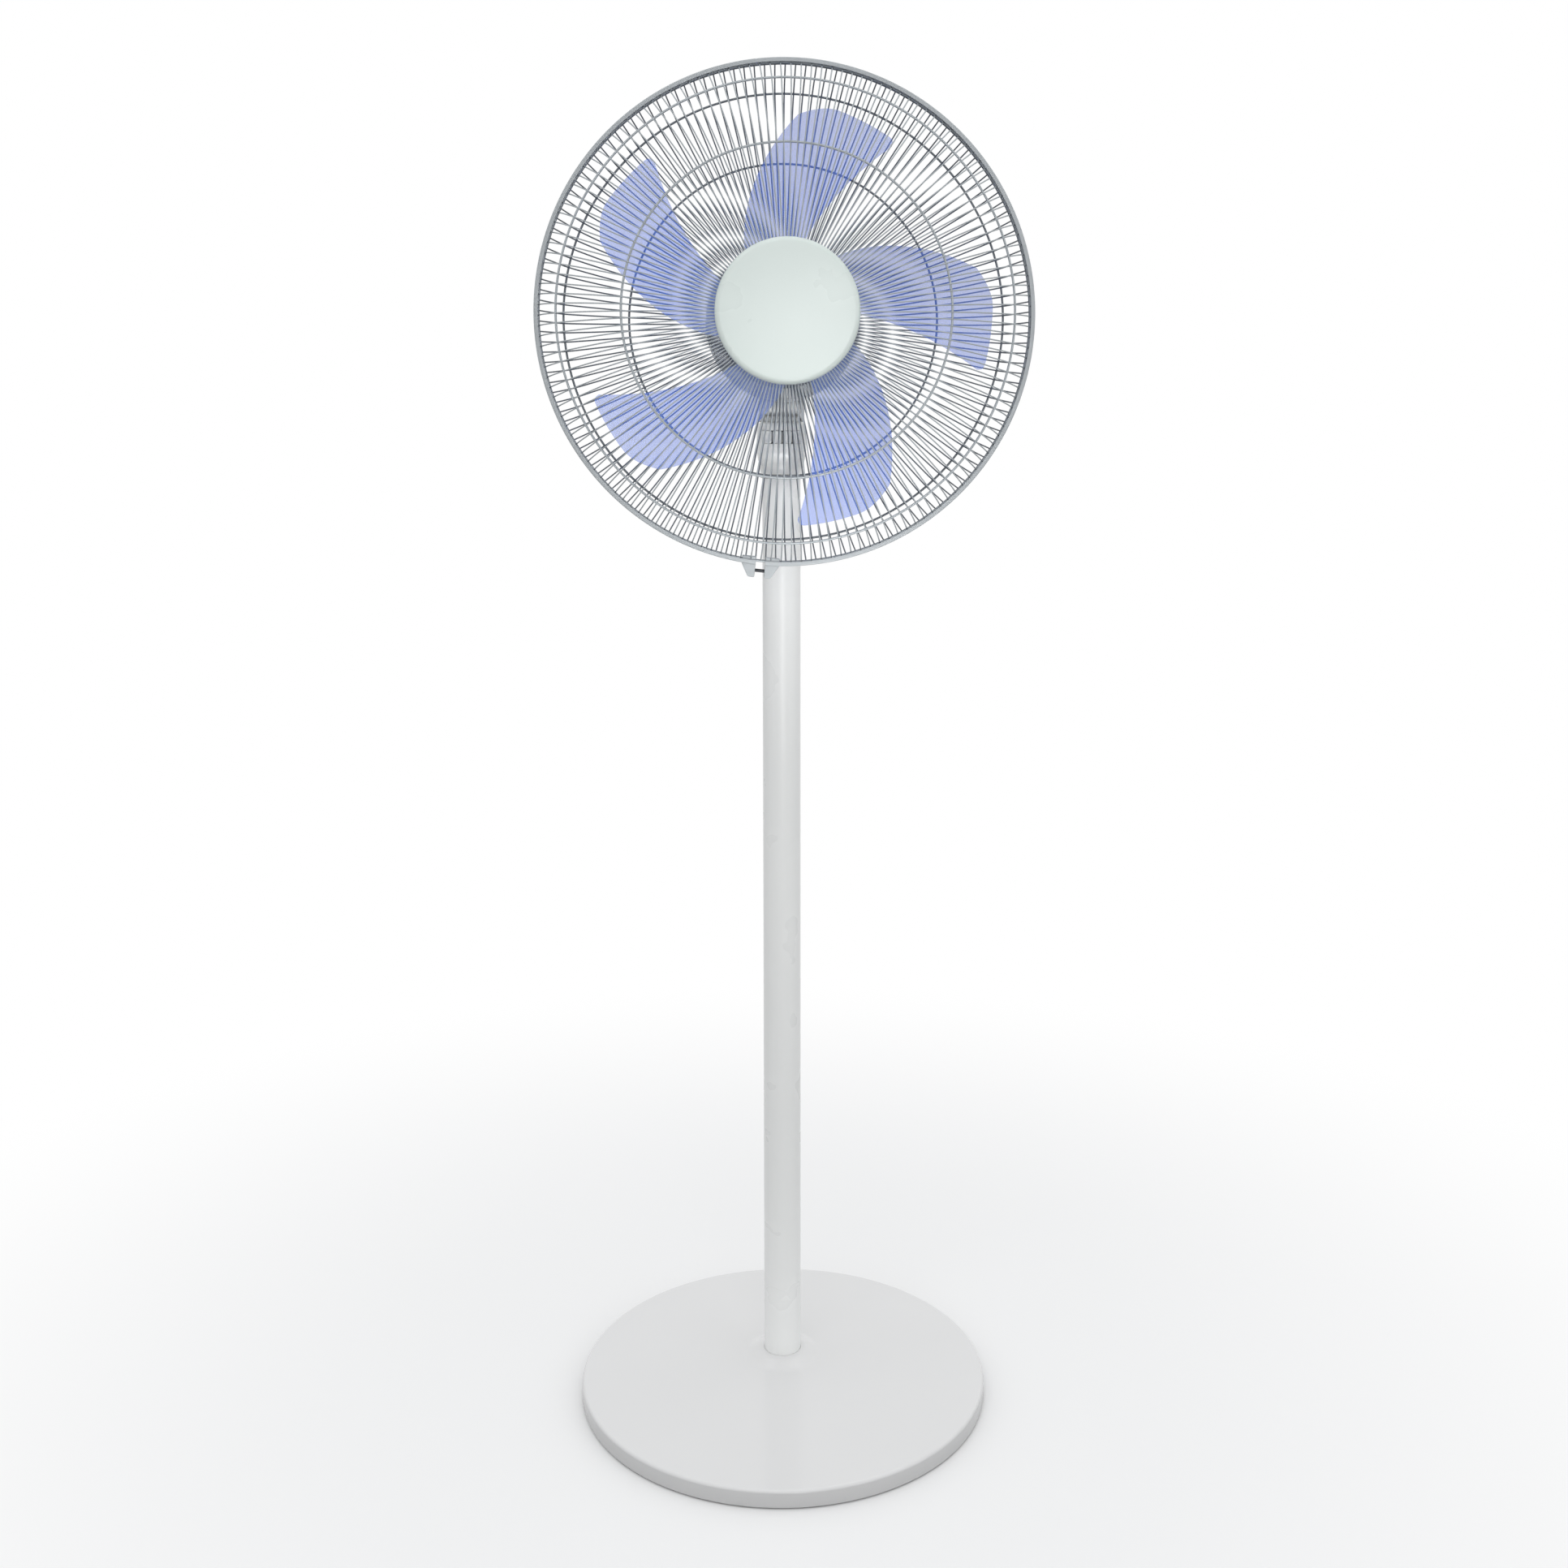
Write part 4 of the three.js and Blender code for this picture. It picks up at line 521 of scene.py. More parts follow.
def makeBase():
    angles = np.linspace(0, 2 * np.pi, base["sides"], endpoint=False)
    flat = base["radius"] - base["edge"]

    def rings(centre, radius, height):
        centre, radius, height = (np.asarray(v, float)[:, None] for v in (centre, radius, height))
        x, y = radius * np.cos(angles), centre + radius * np.sin(angles)
        return np.stack([x, y, height + 0 * x], -1)

    share = np.linspace(0, 1, base["rows"]) ** 1.5
    top = rings(poleBack * (1 - share), base["hole"] + (flat - base["hole"]) * share, 0 * share)
    top[..., 2] = coverHeight(top[..., 0], top[..., 1])
    turn = np.radians(np.linspace(90, 0, 13))[1:]
    edge = rings(0 * turn, flat + base["edge"] * np.cos(turn),
                 base["top"] - base["edge"] + base["edge"] * np.sin(turn))
    hem = rounded([(base["radius"], base["top"] - base["edge"], 0), (base["radius"], base["skirt"], 0.6),
                   (base["radius"] - base["wall"], base["skirt"], 0.6),
                   (base["radius"] - base["wall"], base["top"] - base["edge"], 0)], steps=4)[1:]
    hem = rings(0 * hem[:, 0], hem[:, 0], hem[:, 1])
    inside = base["edge"] - base["wall"]
    inner = rings(0 * turn, flat + inside * np.cos(turn[::-1]),
                  base["top"] - base["edge"] + inside * np.sin(turn[::-1]))
    under = top[::-3] * 1
    under[..., 2] -= base["wall"]
    grid = np.concatenate([top, edge, hem, inner, under])
    standIn("base_cover", [shell(grid, along=True)], sharp=50)


makeBase()
print("base made")

# Pole, its bush and the sliding tube
pole = dict(wall=1.5, rim=0.5, bushFlange=3, gap=0.3)
poleRadius = extent("outer_tube")[1][0]
innerRadius = extent("inner_tube")[1][0]


def tubeOutline(outer, bore, low, high, rim):
    return [(outer, low, rim), (outer, high, rim), (bore, high, rim), (bore, low, rim)]


def makePole():
    bore = poleRadius - pole["wall"]
    standIn("outer_tube", [turnedShell(tubeOutline(poleRadius, bore, poleLow, poleHigh, pole["rim"]), atPole, True)])
    low, high = extent("pole_top_bush")
    under = high[2] - pole["bushFlange"]
    seat, inside = bore - pole["gap"], innerRadius + pole["gap"]
    outline = [(inside, low[2], 0.2), (seat, low[2], 0.2), (seat, under, 0), (high[0], under, 0.5),
               (high[0], high[2], 0.9), (inside, high[2], 0.3)]
    standIn("pole_top_bush", [turnedShell(outline, atPole, True)])
    low, high = extent("inner_tube")
    outline = tubeOutline(high[0], high[0] - pole["wall"], low[2], high[2], pole["rim"])
    standIn("inner_tube", [turnedShell(outline, atPole, True)])


makePole()

# Height clamp: a threaded boss on the pole and a six-lobed knob with its screw
clamp = dict(nutRadius=8, lobes=6, lobeDepth=2.5, edge=1.6, dishRadius=7.5, dishDepth=2, screwRadius=3, gap=0.3)


def makeClamp():
    level = middle("knob_nut", 2)
    place = backwards(level)
    far = extent("knob_nut")[1][1] - poleBack
    bore = clamp["screwRadius"] + clamp["gap"]
    outline = rounded([(clamp["nutRadius"], 0, 0), (clamp["nutRadius"], far, 0.8), (bore, far, 0.4), (bore, 0, 0)])
    grid = turned(outline, 72)
    # the end at the pole follows its round: depth is at least the root of R squared less x squared
    saddle = np.sqrt((poleRadius + clamp["gap"]) ** 2 - grid[..., 0] ** 2)
    grid[..., 2] = np.maximum(grid[..., 2], saddle)
    standIn("knob_nut", [shell(place(grid), along=True)], sharp=50)
    low, high = extent("height_knob")
    near, far = far + clamp["gap"], high[1] - poleBack
    radius = (high[0] - low[0]) / 2
    corners = [(0, near, 0), (radius - 2, near, 0), (radius, near + 3, clamp["edge"]), (radius, far, clamp["edge"]),
               (clamp["dishRadius"], far, 1.2), (clamp["dishRadius"] - 1, far - clamp["dishDepth"], 0.8),
               (0, far - clamp["dishDepth"], 0)]
    grip = gripShell(radius, clamp["lobes"], clamp["lobeDepth"], corners, place)
    tip = low[1] - poleBack
    screw = turnedShell([(0, tip, 0), (clamp["screwRadius"], tip, 0.6), (clamp["screwRadius"], near + 1, 0),
                         (0, near + 1, 0)], place, sides=36)
    standIn("height_knob", [grip, screw])


makeClamp()
print("pole and height clamp made")

# Key housing: a barrel that swells from a round foot to a squarish middle, parted front and rear
housing = dict(footRadius=20.5, halfWidth=24.2, halfDepth=27, squareness=4, wall=2.2, gap=0.3, shoulder=3,
               footEdge=1.2, postHole=9.3, tubeHole=15.9, windowHalfWidth=24.05, windowPower=3.85,
               fullShare=0.5, fullBulge=0.95, topBulge=0.5, topPower=6, rows=(20, 8, 8), columns=(16, 24, 16),
               screwSink=3.3, glandHole=6.3, sharp=45)
housingFoot, housingTop = (corner[2] for corner in extent("control_housing_rear"))
keys = dict(names=("key_off", "key_low", "key_medium", "key_high"), corner=1.4, edge=0.8, dish=0.7, gap=0.3)
keyRow = np.array([np.concatenate(extent(name)) for name in keys["names"]])
window = dict(right=keyRow[:, 3].max() + keys["gap"], low=keyRow[:, 2].min() - keys["gap"],
              high=keyRow[:, 5].max() + keys["gap"])


def bulgeAt(share):
    # up to the full share a half cosine wave from 0 to the full bulge, then down to the top's with a power
    full, span = housing["fullBulge"], housing["fullShare"]
    rise = full * (1 - np.cos(np.pi * np.clip(share / span, 0, 1))) / 2
    fall = np.clip((share - span) / (1 - span), 0, 1) ** housing["topPower"]
    return np.where(share < span, rise, full - (full - housing["topBulge"]) * fall)


def spread(stops, counts):
    # evenly spaced values between neighbouring stops, each stop once
    parts = [np.linspace(a, b, count) for a, b, count in zip(stops, stops[1:], counts)]
    return np.concatenate([parts[0], *(part[1:] for part in parts[1:])])


def housingGrid(side):
    # side -1 is the front half and 1 the rear half, without shoulder and foot edge
    low, high = housingFoot + housing["footEdge"], housingTop - housing["shoulder"]
    levels = (low, window["low"], window["high"], high)
    heights = spread(levels, housing["rows"])
    bulge = bulgeAt((heights - housingFoot) / (housingTop - housingFoot))[:, None]
    halfWidth = housing["footRadius"] + (housing["halfWidth"] - housing["footRadius"]) * bulge
    halfDepth = housing["footRadius"] + (housing["halfDepth"] - housing["footRadius"]) * bulge
    power = 2 + (housing["squareness"] - 2) * bulge
    # edges of the key window fall on columns: x / halfWidth is sin t to the power 2 / power
    edgeTurn = np.arcsin((window["right"] / housing["windowHalfWidth"]) ** (housing["windowPower"] / 2))
    turns = spread((-np.pi / 2, -edgeTurn, edgeTurn, np.pi / 2), housing["columns"])
    sine, cosine = np.sin(turns), np.abs(np.cos(turns))
    x = np.sign(sine) * halfWidth * np.abs(sine) ** (2 / power)
    y = side * (housing["gap"] / 2 + (halfDepth - housing["gap"] / 2) * cosine ** (2 / power))
    return np.stack([x, y, heights[:, None] + 0 * x], -1)


def closingRows(ring, hole, edge, up):
    # a quarter round of radius edge, then a flat to a round hole: at turn t the outline is drawn in by
    # edge (1 - cos t) and stands edge sin t further up, or down
    direction = ring[:, :2] / np.hypot(ring[:, 0], ring[:, 1])[:, None]
    turn = np.radians(np.linspace(0, 90, 7)[1:])
    rows = [np.column_stack([ring[:, :2] - direction * edge * (1 - np.cos(t)), ring[:, 2] + up * edge * np.sin(t)])
            for t in turn]
    last = rows[-1]
    for share in (0.4, 0.75, 1.0):
        rows.append(np.column_stack([last[:, :2] * (1 - share) + direction * hole * share, last[:, 2]]))
    return np.stack(rows)


def makeHousing():
    for side, node in ((-1, "control_housing_front"), (1, "control_housing_rear")):
        grid = housingGrid(side)
        top = closingRows(grid[-1], housing["postHole"], housing["shoulder"], 1)
        foot = closingRows(grid[0], housing["tubeHole"], housing["footEdge"], -1)
        points, faces = shell(atPole(np.concatenate([foot[::-1], grid, top])), around=False)
        if side < 0:
            centres = points[np.array(faces)].mean(1)
            inside = (centres[:, 2] > window["low"]) & (centres[:, 2] < window["high"])
            inside &= np.abs(centres[:, 0]) < window["right"] - 0.2
            faces = [face for face, gone in zip(faces, inside) if not gone]
        piece = standIn(node, [(points, faces)], housing["sharp"])
        aim = piece.data.polygons[len(piece.data.polygons) // 2]
        outward = (aim.center[1] / mm - poleBack) * aim.normal[1] + aim.center[0] / mm * aim.normal[0]
        if outward < 0:
            piece.data.flip_normals()
        thicken(piece, housing["wall"])
        if side > 0:
            cutHoles(piece, rearHoles())
        else:
            piece.data.set_sharp_from_angle(angle=math.radians(housing["sharp"]))


def rearHoles():
    # sinks for the two housing screws and the hole for the cord inlet
    sink, near, far = housing["screwSink"], 12, 40  # near and far ends of the cutters, behind the pole's axis
    tools = []
    for node, radius in (("housing_screw_upper", sink), ("housing_screw_lower", sink),
                         ("cord_gland", housing["glandHole"])):
        outline = [(0, near, 0), (radius, near, 0), (radius, far, 0), (0, far, 0)]
        tool = turnedShell(outline, backwards(middle(node, 2)), sides=40)
        tools.append(moved(tool, middle(node, 0)))
    return tools


makeHousing()


def makeKeys():
    for name in keys["names"]:
        low, high = extent(name)
        centre = (low + high) / 2
        outline = rectangle((high[0] - low[0]) / 2, (high[2] - low[2]) / 2, keys["corner"])
        place = forwards(centre[2])
        key = slabShell(outline, poleBack - high[1], poleBack - low[1], keys["edge"], place, keys["dish"])
        standIn(name, [moved(key, centre[0])], sharp=60)


makeKeys()
print("key housing made")

# Neck bracket: post, fork plate and two ears; bolt and nut through them, and the tilt block between
neck = dict(postRadius=9, plateHalfDepth=10.5, plateThickness=5, halfWidth=22, earThickness=6, earRadius=10.5,
            edge=1.2, gap=0.3, headRadius=7, blockRadius=10, bossRadius=7.6, linkWidth=7,
            boltRadius=4, pinRadius=2.2, plateCorner=3, earEdge=0.8, nutProud=0.5, armRise=10.8)
tiltLevel = middle("tilt_bolt", 2)
plateTop = tiltLevel - neck["blockRadius"] - neck["gap"]


def earOutline(radius, bottom, steps=24):
    # a half round above a straight leg: radius (cos a, sin a) from 0 to 180 degrees, then down to the bottom
    a = np.radians(np.linspace(0, 180, steps + 1))
    top = np.stack([radius * np.cos(a), radius * np.sin(a)], -1)
    return np.concatenate([top, [[-radius, bottom], [radius, bottom]]])


def makeNeck():
    low, high = extent("neck_bracket")
    plateLow = plateTop - neck["plateThickness"]
    innerBore = innerRadius - pole["wall"] - neck["gap"]
    tubeTop = extent("inner_tube")[1][2]
    radius, root = neck["postRadius"], plateLow + 0.5
    post = [(0, low[2], 0), (innerBore, low[2], 1), (innerBore, tubeTop, 0.5), (radius, tubeTop + 0.5, 0.3),
            (radius, root - 2, 1.2), (radius + 2, root, 0), (0, root, 0)]
    plate = rectangle(neck["halfWidth"], neck["plateHalfDepth"], neck["plateCorner"])
    plate = slabShell(plate, plateLow, plateTop, neck["edge"], atPole)
    ears = []
    for side in (-1, 1):
        outline = earOutline(neck["earRadius"], plateLow - tiltLevel + neck["edge"])
        near, far = neck["halfWidth"] - neck["earThickness"], neck["halfWidth"]
        ends = (near, far) if side > 0 else (-far, -near)
        ears.append(slabShell(outline, *ends, neck["earEdge"], sideways(tiltLevel)))
    standIn("neck_bracket", [turnedShell(post, atPole, sides=64), plate, *ears], sharp=50)
    # domed head sunk in one ear, hexagon nut in the other
    bolt, nut = extent("tilt_bolt"), extent("tilt_nut")
    head, shank, near = neck["headRadius"], neck["boltRadius"], bolt[0][0]
    outline = [(0, near - 0.4, 0), (head - 1, near - 0.2, 0.8), (head, near + 1, 0.6), (head, near + 2.6, 0.2),
               (shank, near + 2.6, 0), (shank, bolt[1][0], 0.6), (0, bolt[1][0], 0)]
    standIn("tilt_bolt", [turnedShell(outline, sideways(tiltLevel), sides=48)])
    nutFace = nut[1][0] + neck["nutProud"]
    standIn("tilt_nut", [slabShell(hexagon(head), nut[0][0], nutFace, 0.4, sideways(tiltLevel))], sharp=25)


makeNeck()


def makeTiltBlock():
    # a barrel across the fork, the boss of the pan pin and the arm to the link's pin
    low, high = extent("tilt_block")
    radius, width = neck["blockRadius"], neck["linkWidth"]
    outline = [(0, low[0], 0), (radius, low[0], 0.6), (radius, -low[0], 0.6), (0, -low[0], 0)]
    barrel = turnedShell(outline, sideways(tiltLevel), sides=64)
    bossTop = extent("thrust_washer")[0][2] - neck["gap"]
    radius = neck["bossRadius"]
    outline = [(0, tiltLevel, 0), (radius, tiltLevel, 0), (radius, bossTop, 0.4), (0, bossTop, 0)]
    boss = turnedShell(outline, atPole, sides=64)
    link = extent("link")[0]
    armTop, anchor = link[2] - neck["gap"], link[0] + width / 2
    arm = rectangle((-anchor + width) / 2, width / 2, width / 2 - 0.1) + np.array([anchor / 2, 0])
    arm = slabShell(arm, tiltLevel + neck["armRise"], armTop, 0.5, atPole)
    radius = neck["pinRadius"]
    outline = [(0, armTop - 1, 0), (radius, armTop - 1, 0), (radius, high[2], 0.5), (0, high[2], 0)]
    pin = moved(turnedShell(outline, atPole, sides=32), anchor)
    standIn("tilt_block", [barrel, boss, arm, pin], sharp=50)


makeTiltBlock()
print("neck and tilt joint made")

# Motor shell: a bullet with cooling slots behind, open below for the neck and the link
motor = dict(front=60, rear=78, radius=72, wall=2.2, power=2.2, lengthPower=3.0, slots=7, slotWidth=4,
             slotInner=17, slotOuter=41, neckHole=30, linkHalfWidth=24, linkRear=60, linkTop=39, stemHole=3.8,
             panKnobSetback=24, screwHole=2.4, rows=64, sides=192, overrun=3, neckTop=45, linkCorner=8, stemLow=31,
             slotFront=54.5, sharpEdge=0.01)


def shellRadius(ahead):
    # a long round bullet: (r / R) to the power 2.2 plus (distance behind the front / length) cubed is 1
    share = np.clip((motor["front"] - ahead) / (motor["front"] + motor["rear"]), 0, 1)
    return motor["radius"] * (1 - share ** motor["lengthPower"]) ** (1 / motor["power"])


def makeMotorShell():
    # rows crowd towards the rear, where the curve is tight: distance goes with the sine of the row's turn
    turn = np.linspace(0, np.pi / 2, motor["rows"])
    ahead = motor["front"] - (motor["front"] + motor["rear"]) * np.sin(turn)
    radius = shellRadius(ahead)
    radius[-1] = motor["screwHole"]
    outer = np.column_stack([radius, ahead])
    normal = np.gradient(outer, axis=0)
    normal = np.column_stack([-normal[:, 1], normal[:, 0]])
    normal /= np.linalg.norm(normal, axis=1)[:, None]
    inner = outer - normal * motor["wall"]
    inner = inner[inner[:, 0] > motor["screwHole"]]
    inner[-1] = (motor["screwHole"], inner[-1, 1])
    inner[0, 1] = motor["front"]
    outline = np.concatenate([outer, inner[::-1]])
    piece = standIn("motor_shell", [shell(atHead(turned(outline, motor["sides"])), along=True)], sharp=30)

    def upright(points):
        # z becomes up, from the fan's axis at the pan axis
        return atHead(np.stack([points[..., 0], points[..., 2], points[..., 1]], -1))

    deep, edge = motor["radius"] + motor["overrun"], motor["sharpEdge"]

    def plug(radius, low, high, sides):
        return turnedShell([(0, low, 0), (radius, low, 0), (radius, high, 0), (0, high, 0)], upright, sides=sides)

    # the link's opening joins the neck's: a plate with round rear corners
    half = motor["linkRear"] / 2
    outline = rectangle(motor["linkHalfWidth"], half, motor["linkCorner"]) - np.array([0, half])
    tools = [plug(motor["neckHole"], -deep, -motor["neckTop"], 96),
             slabShell(outline, -deep, -motor["linkTop"], edge, upright),
             moved(plug(motor["stemHole"], motor["stemLow"], deep, 32), 0, motor["panKnobSetback"])]
    halfLength, centre = (motor["slotOuter"] - motor["slotInner"]) / 2, (motor["slotOuter"] + motor["slotInner"]) / 2
    halfWidth = motor["slotWidth"] / 2
    slot = rectangle(halfLength, halfWidth, halfWidth - edge) + np.array([centre, 0])
    for k in range(motor["slots"]):
        outline = spun(slot, (k + 0.5) / motor["slots"] * 2 * np.pi)
        tools.append(slabShell(outline, -motor["rear"] - motor["overrun"], -motor["slotFront"], edge, atHead))
    cutHoles(piece, tools, sharp=30)


makeMotorShell()


frontCover = dict(bore=4.3, nose=14, step=40, insideRim=41, outsideRim=45, flange=3, web=4)


def makeMotorFront():
    # flange that closes the shell, stepped bearing boss and the nose that carries the rear guard
    low, high = extent("motor_front_cover")
    nose, front, rear = poleBack - low[1], motor["front"], poleBack - high[1]
    radius, behind, web = (high[0] - low[0]) / 2, front - frontCover["flange"], front - frontCover["web"]
    outline = [(frontCover["bore"], nose, 0), (frontCover["nose"], nose, 1), (frontCover["nose"], front, 1.5),
               (frontCover["step"], front, 0), (radius, front, 0.8), (radius, behind, 0.5),
               (frontCover["outsideRim"], behind, 0.5), (frontCover["outsideRim"], rear, 0.5),
               (frontCover["insideRim"], rear, 0.3), (frontCover["insideRim"], web, 0.5),
               (frontCover["bore"], web, 0)]
    standIn("motor_front_cover", [turnedShell(outline, atHead, True, sides=128)])


makeMotorFront()


panKnob = dict(length=12, stem=3.5, lobes=24, lobeDepth=0.35, sides=192)


def makePanKnob():
    # a waisted push-pull knob with a dished top on its stem
    low, high = extent("pan_knob")
    radius, low, high = high[0], low[2] - headHeight, high[2] - headHeight
    under, stem = high - panKnob["length"], panKnob["stem"]

    def place(points):
        return atHead(np.stack([points[..., 0], points[..., 2], points[..., 1] - motor["panKnobSetback"]], -1))

    corners = [(0, under, 0), (radius - 1.5, under, 0.8), (radius - 0.6, under + 3, 1.5), (radius, high - 2.5, 2),
               (radius - 1.2, high, 1.2), (radius - 3.5, high - 0.9, 1.5), (0, high - 1.1, 0)]
    outline = [(0, low, 0), (stem, low, 0.5), (stem, under + 1, 0), (0, under + 1, 0)]
    grip = gripShell(radius, panKnob["lobes"], panKnob["lobeDepth"], corners, place, sides=panKnob["sides"])
    standIn("pan_knob", [grip, turnedShell(outline, place, sides=36)])


makePanKnob()
print("motor housing made")

# Impeller: five blades twisted from root to tip on a cup-shaped hub, moulded in one
impeller = dict(hubRadius=30, hubWall=3, hubRear=98, hubLength=36, bossRadius=9, bore=4.3, blades=5,
                tipRadius=187, rootRadius=28.5, thickness=2.2, edgeShare=0.3, middle=120, rootPitch=42, tipPitch=20,
                camber=5, corner=12, cornerShare=0.3, point=6, pointShare=0.12, trailing=(-58, 7, 0.66),
                leading=(2, 33, 0.7), radialSteps=46, chordSteps=30)
spinner = dict(lobes=12, lobeDepth=0.8, collar=5, dome=8)


def bladeEdge(edge, share):
    # an angle that goes from its root value to its tip value with a power of the radial share
    root, tip, bend = edge
    return np.radians(root + (tip - root) * share ** bend)


def bladeSkin(side):
    # a blade's face: across the chord it hollows by camber sin(pi c), and along the span its pitch falls
    # evenly from root to tip; the trailing corner of the tip is drawn in with the square of its share, and
    # the leading one with the cube
    radial = np.linspace(0, 1, impeller["radialSteps"] + 1)[:, None]
    chord = np.linspace(0, 1, impeller["chordSteps"] + 1)[None]
    chord = (1 - np.cos(np.pi * chord)) / 2
    corner = np.clip(1 - chord / impeller["cornerShare"], 0, 1) ** 2
    point = np.clip((chord - 1) / impeller["pointShare"] + 1, 0, 1) ** 3
    tip = impeller["tipRadius"] - impeller["corner"] * corner - impeller["point"] * point
    radius = impeller["rootRadius"] + (tip - impeller["rootRadius"]) * radial
    share = (radius - impeller["rootRadius"]) / (impeller["tipRadius"] - impeller["rootRadius"])
    trailing, leading = bladeEdge(impeller["trailing"], share), bladeEdge(impeller["leading"], share)
    angle = trailing + (leading - trailing) * chord
    pitch = np.radians(impeller["rootPitch"] + (impeller["tipPitch"] - impeller["rootPitch"]) * share)
    along = (angle - (leading + trailing) / 2) * radius * np.tan(pitch)
    bulge = np.sin(np.pi * chord) + 0 * share
    edge = impeller["edgeShare"]
    half = impeller["thickness"] / 2 * (edge + (1 - edge) * np.sqrt(np.clip(bulge, 0, 1)))
    depth = impeller["middle"] - along - impeller["camber"] * bulge + side * half
    return np.stack([radius * np.sin(angle), radius * np.cos(angle), depth], -1)


def bladeShell(turn):
    # both faces as one tube of chord-wise rings, closed at root and tip
    grid = np.concatenate([bladeSkin(1), bladeSkin(-1)[:, ::-1]], 1)
    points, faces = shell(atHead(spun(grid, -turn)), ends=False)
    columns, half = grid.shape[1], grid.shape[1] // 2
    for row in (0, grid.shape[0] - 1):
        # strips between the two faces close the ends
        near = row * columns
        for j in range(half - 1):
            faces.append([near + j, near + j + 1, near + columns - 2 - j, near + columns - 1 - j])
    return points, faces


def makeImpeller():
    front, rear = impeller["hubRear"] + impeller["hubLength"], impeller["hubRear"]
    hub, wall, boss = impeller["hubRadius"], impeller["hubWall"], impeller["bossRadius"]
    bore = impeller["bore"]
    outline = [(bore, front, 0), (hub, front, 5), (hub, rear, 0.8), (hub - wall, rear, 0.8),
               (hub - wall, front - wall, 3), (boss, front - wall, 1), (boss, rear, 0.5), (bore, rear, 0)]
    blades = [bladeShell(k / impeller["blades"] * 2 * np.pi) for k in range(impeller["blades"])]
    standIn("impeller", [turnedShell(outline, atHead, True, sides=128), *blades], sharp=50)
    low, high = extent("spinner")
    radius, back, tip = high[0], poleBack - high[1], poleBack - low[1]
    collar, seat = spinner["collar"], tip - spinner["dome"]
    corners = [(bore, back, 0), (radius, back, 0.5), (radius, back + collar, 1), (radius * 0.93, tip - 5, 3),
               (radius * 0.6, tip, 5), (0, tip, 0), (0, seat, 0), (bore, seat, 0)]
    standIn("spinner", [gripShell(radius, spinner["lobes"], spinner["lobeDepth"], corners, atHead, closed=True)])


makeImpeller()
print("impeller made")

# Guards: two cages of radial wires welded to rings, and the plate that holds the rear one
guards = dict(wires=150, wireRadius=0.58, rearWireRadius=0.66, ringRadius=1, rimRadius=1.1, sides=8,
              ringSides=12, around=240, rim=217, rimPlane=143, rimOffset=1.8,
              hub=50, innerRing=141.5, outerRing=199, bend=170.25,
              frontHub=196, frontInner=193, frontOuter=171, rearInner=83, rearOuter=105,
              plateRadius=60, plateBore=14.3, plateRear=60.3, plateFront=62.3, weld=1.5)


def wireShells(route, wireRadius, phase):
    # one wire is a small circle carried along its route in the plane of radius and reach; the others are
    # the same turned round the axis, from a whole array of turns at once
    path = rounded(route, steps=7)
    ahead = np.gradient(path, axis=0)
    ahead /= np.linalg.norm(ahead, axis=1)[:, None]
    across = np.column_stack([-ahead[:, 1], ahead[:, 0]])
    a = np.linspace(0, 2 * np.pi, guards["sides"], endpoint=False)
    c, s = wireRadius * np.cos(a), wireRadius * np.sin(a)
    radius = path[:, :1] + across[:, :1] * c
    reach = path[:, 1:] + across[:, 1:] * c
    side = 0 * radius + s
    turns = (phase + np.arange(guards["wires"])) / guards["wires"] * 2 * np.pi
    cosine, sine = np.cos(turns)[:, None, None], np.sin(turns)[:, None, None]
    grids = np.stack([radius * cosine - side * sine, radius * sine + side * cosine, reach + 0 * cosine], -1)
    return [shell(atHead(grid)) for grid in grids]


def ringShell(radius, reach, size):
    # a welded ring: a circle of wire carried round the axis
    a = np.linspace(0, 2 * np.pi, guards["ringSides"], endpoint=False)
    section = np.column_stack([radius + size * np.cos(a), reach + size * np.sin(a)])
    return shell(atHead(turned(section, guards["around"])), along=True)


def makeGuards():
    rim, plane, offset, thin = guards["rim"], guards["rimPlane"], guards["rimOffset"], guards["weld"]
    inner, outer, bend, near = guards["innerRing"], guards["outerRing"], guards["bend"], guards["rim"] - 4.6
    first, second, ahead = guards["frontInner"], guards["frontOuter"], plane + offset
    route = [(guards["hub"] - 2, guards["frontHub"] + 0.1, 0), (inner, first, 12),
             (bend, first + (second - first) * 0.3, 14), (outer, second, 10),
             (near, ahead + (second - ahead) * 0.4, 7), (rim, ahead, 0)]
    rings = [ringShell(rim, ahead, guards["rimRadius"]), ringShell(outer, second - thin, guards["ringRadius"]),
             ringShell(inner, first - thin, guards["ringRadius"]),
             ringShell(guards["hub"], guards["frontHub"] - thin, guards["ringRadius"])]
    standIn("front_guard", rings + wireShells(route, guards["wireRadius"], 0), merge=False)
    first, second, behind = guards["rearInner"], guards["rearOuter"], plane - offset
    plate = guards["plateRadius"]
    route = [(plate - 5, guards["plateFront"] - 0.2, 0), (inner, first, 14),
             (bend, first + (second - first) * 0.4, 14), (outer, second, 10),
             (near, behind + (second - behind) * 0.3, 8), (rim, behind, 0)]
    rings = [ringShell(rim, behind, guards["rimRadius"]), ringShell(outer, second - thin, guards["ringRadius"]),
             ringShell(inner, first - thin, guards["ringRadius"])]
    low, high = guards["plateRear"], guards["plateFront"]
    disc = turnedShell([(guards["plateBore"], low, 0.4), (guards["plateBore"], high, 0.4), (30, high, 0),
                        (plate, high, 0.7), (plate, low, 0.7)], atHead, True, sides=144)
    wires = wireShells(route, guards["rearWireRadius"], 0.5)
    standIn("rear_guard", rings + [disc] + wires, merge=False)


makeGuards()

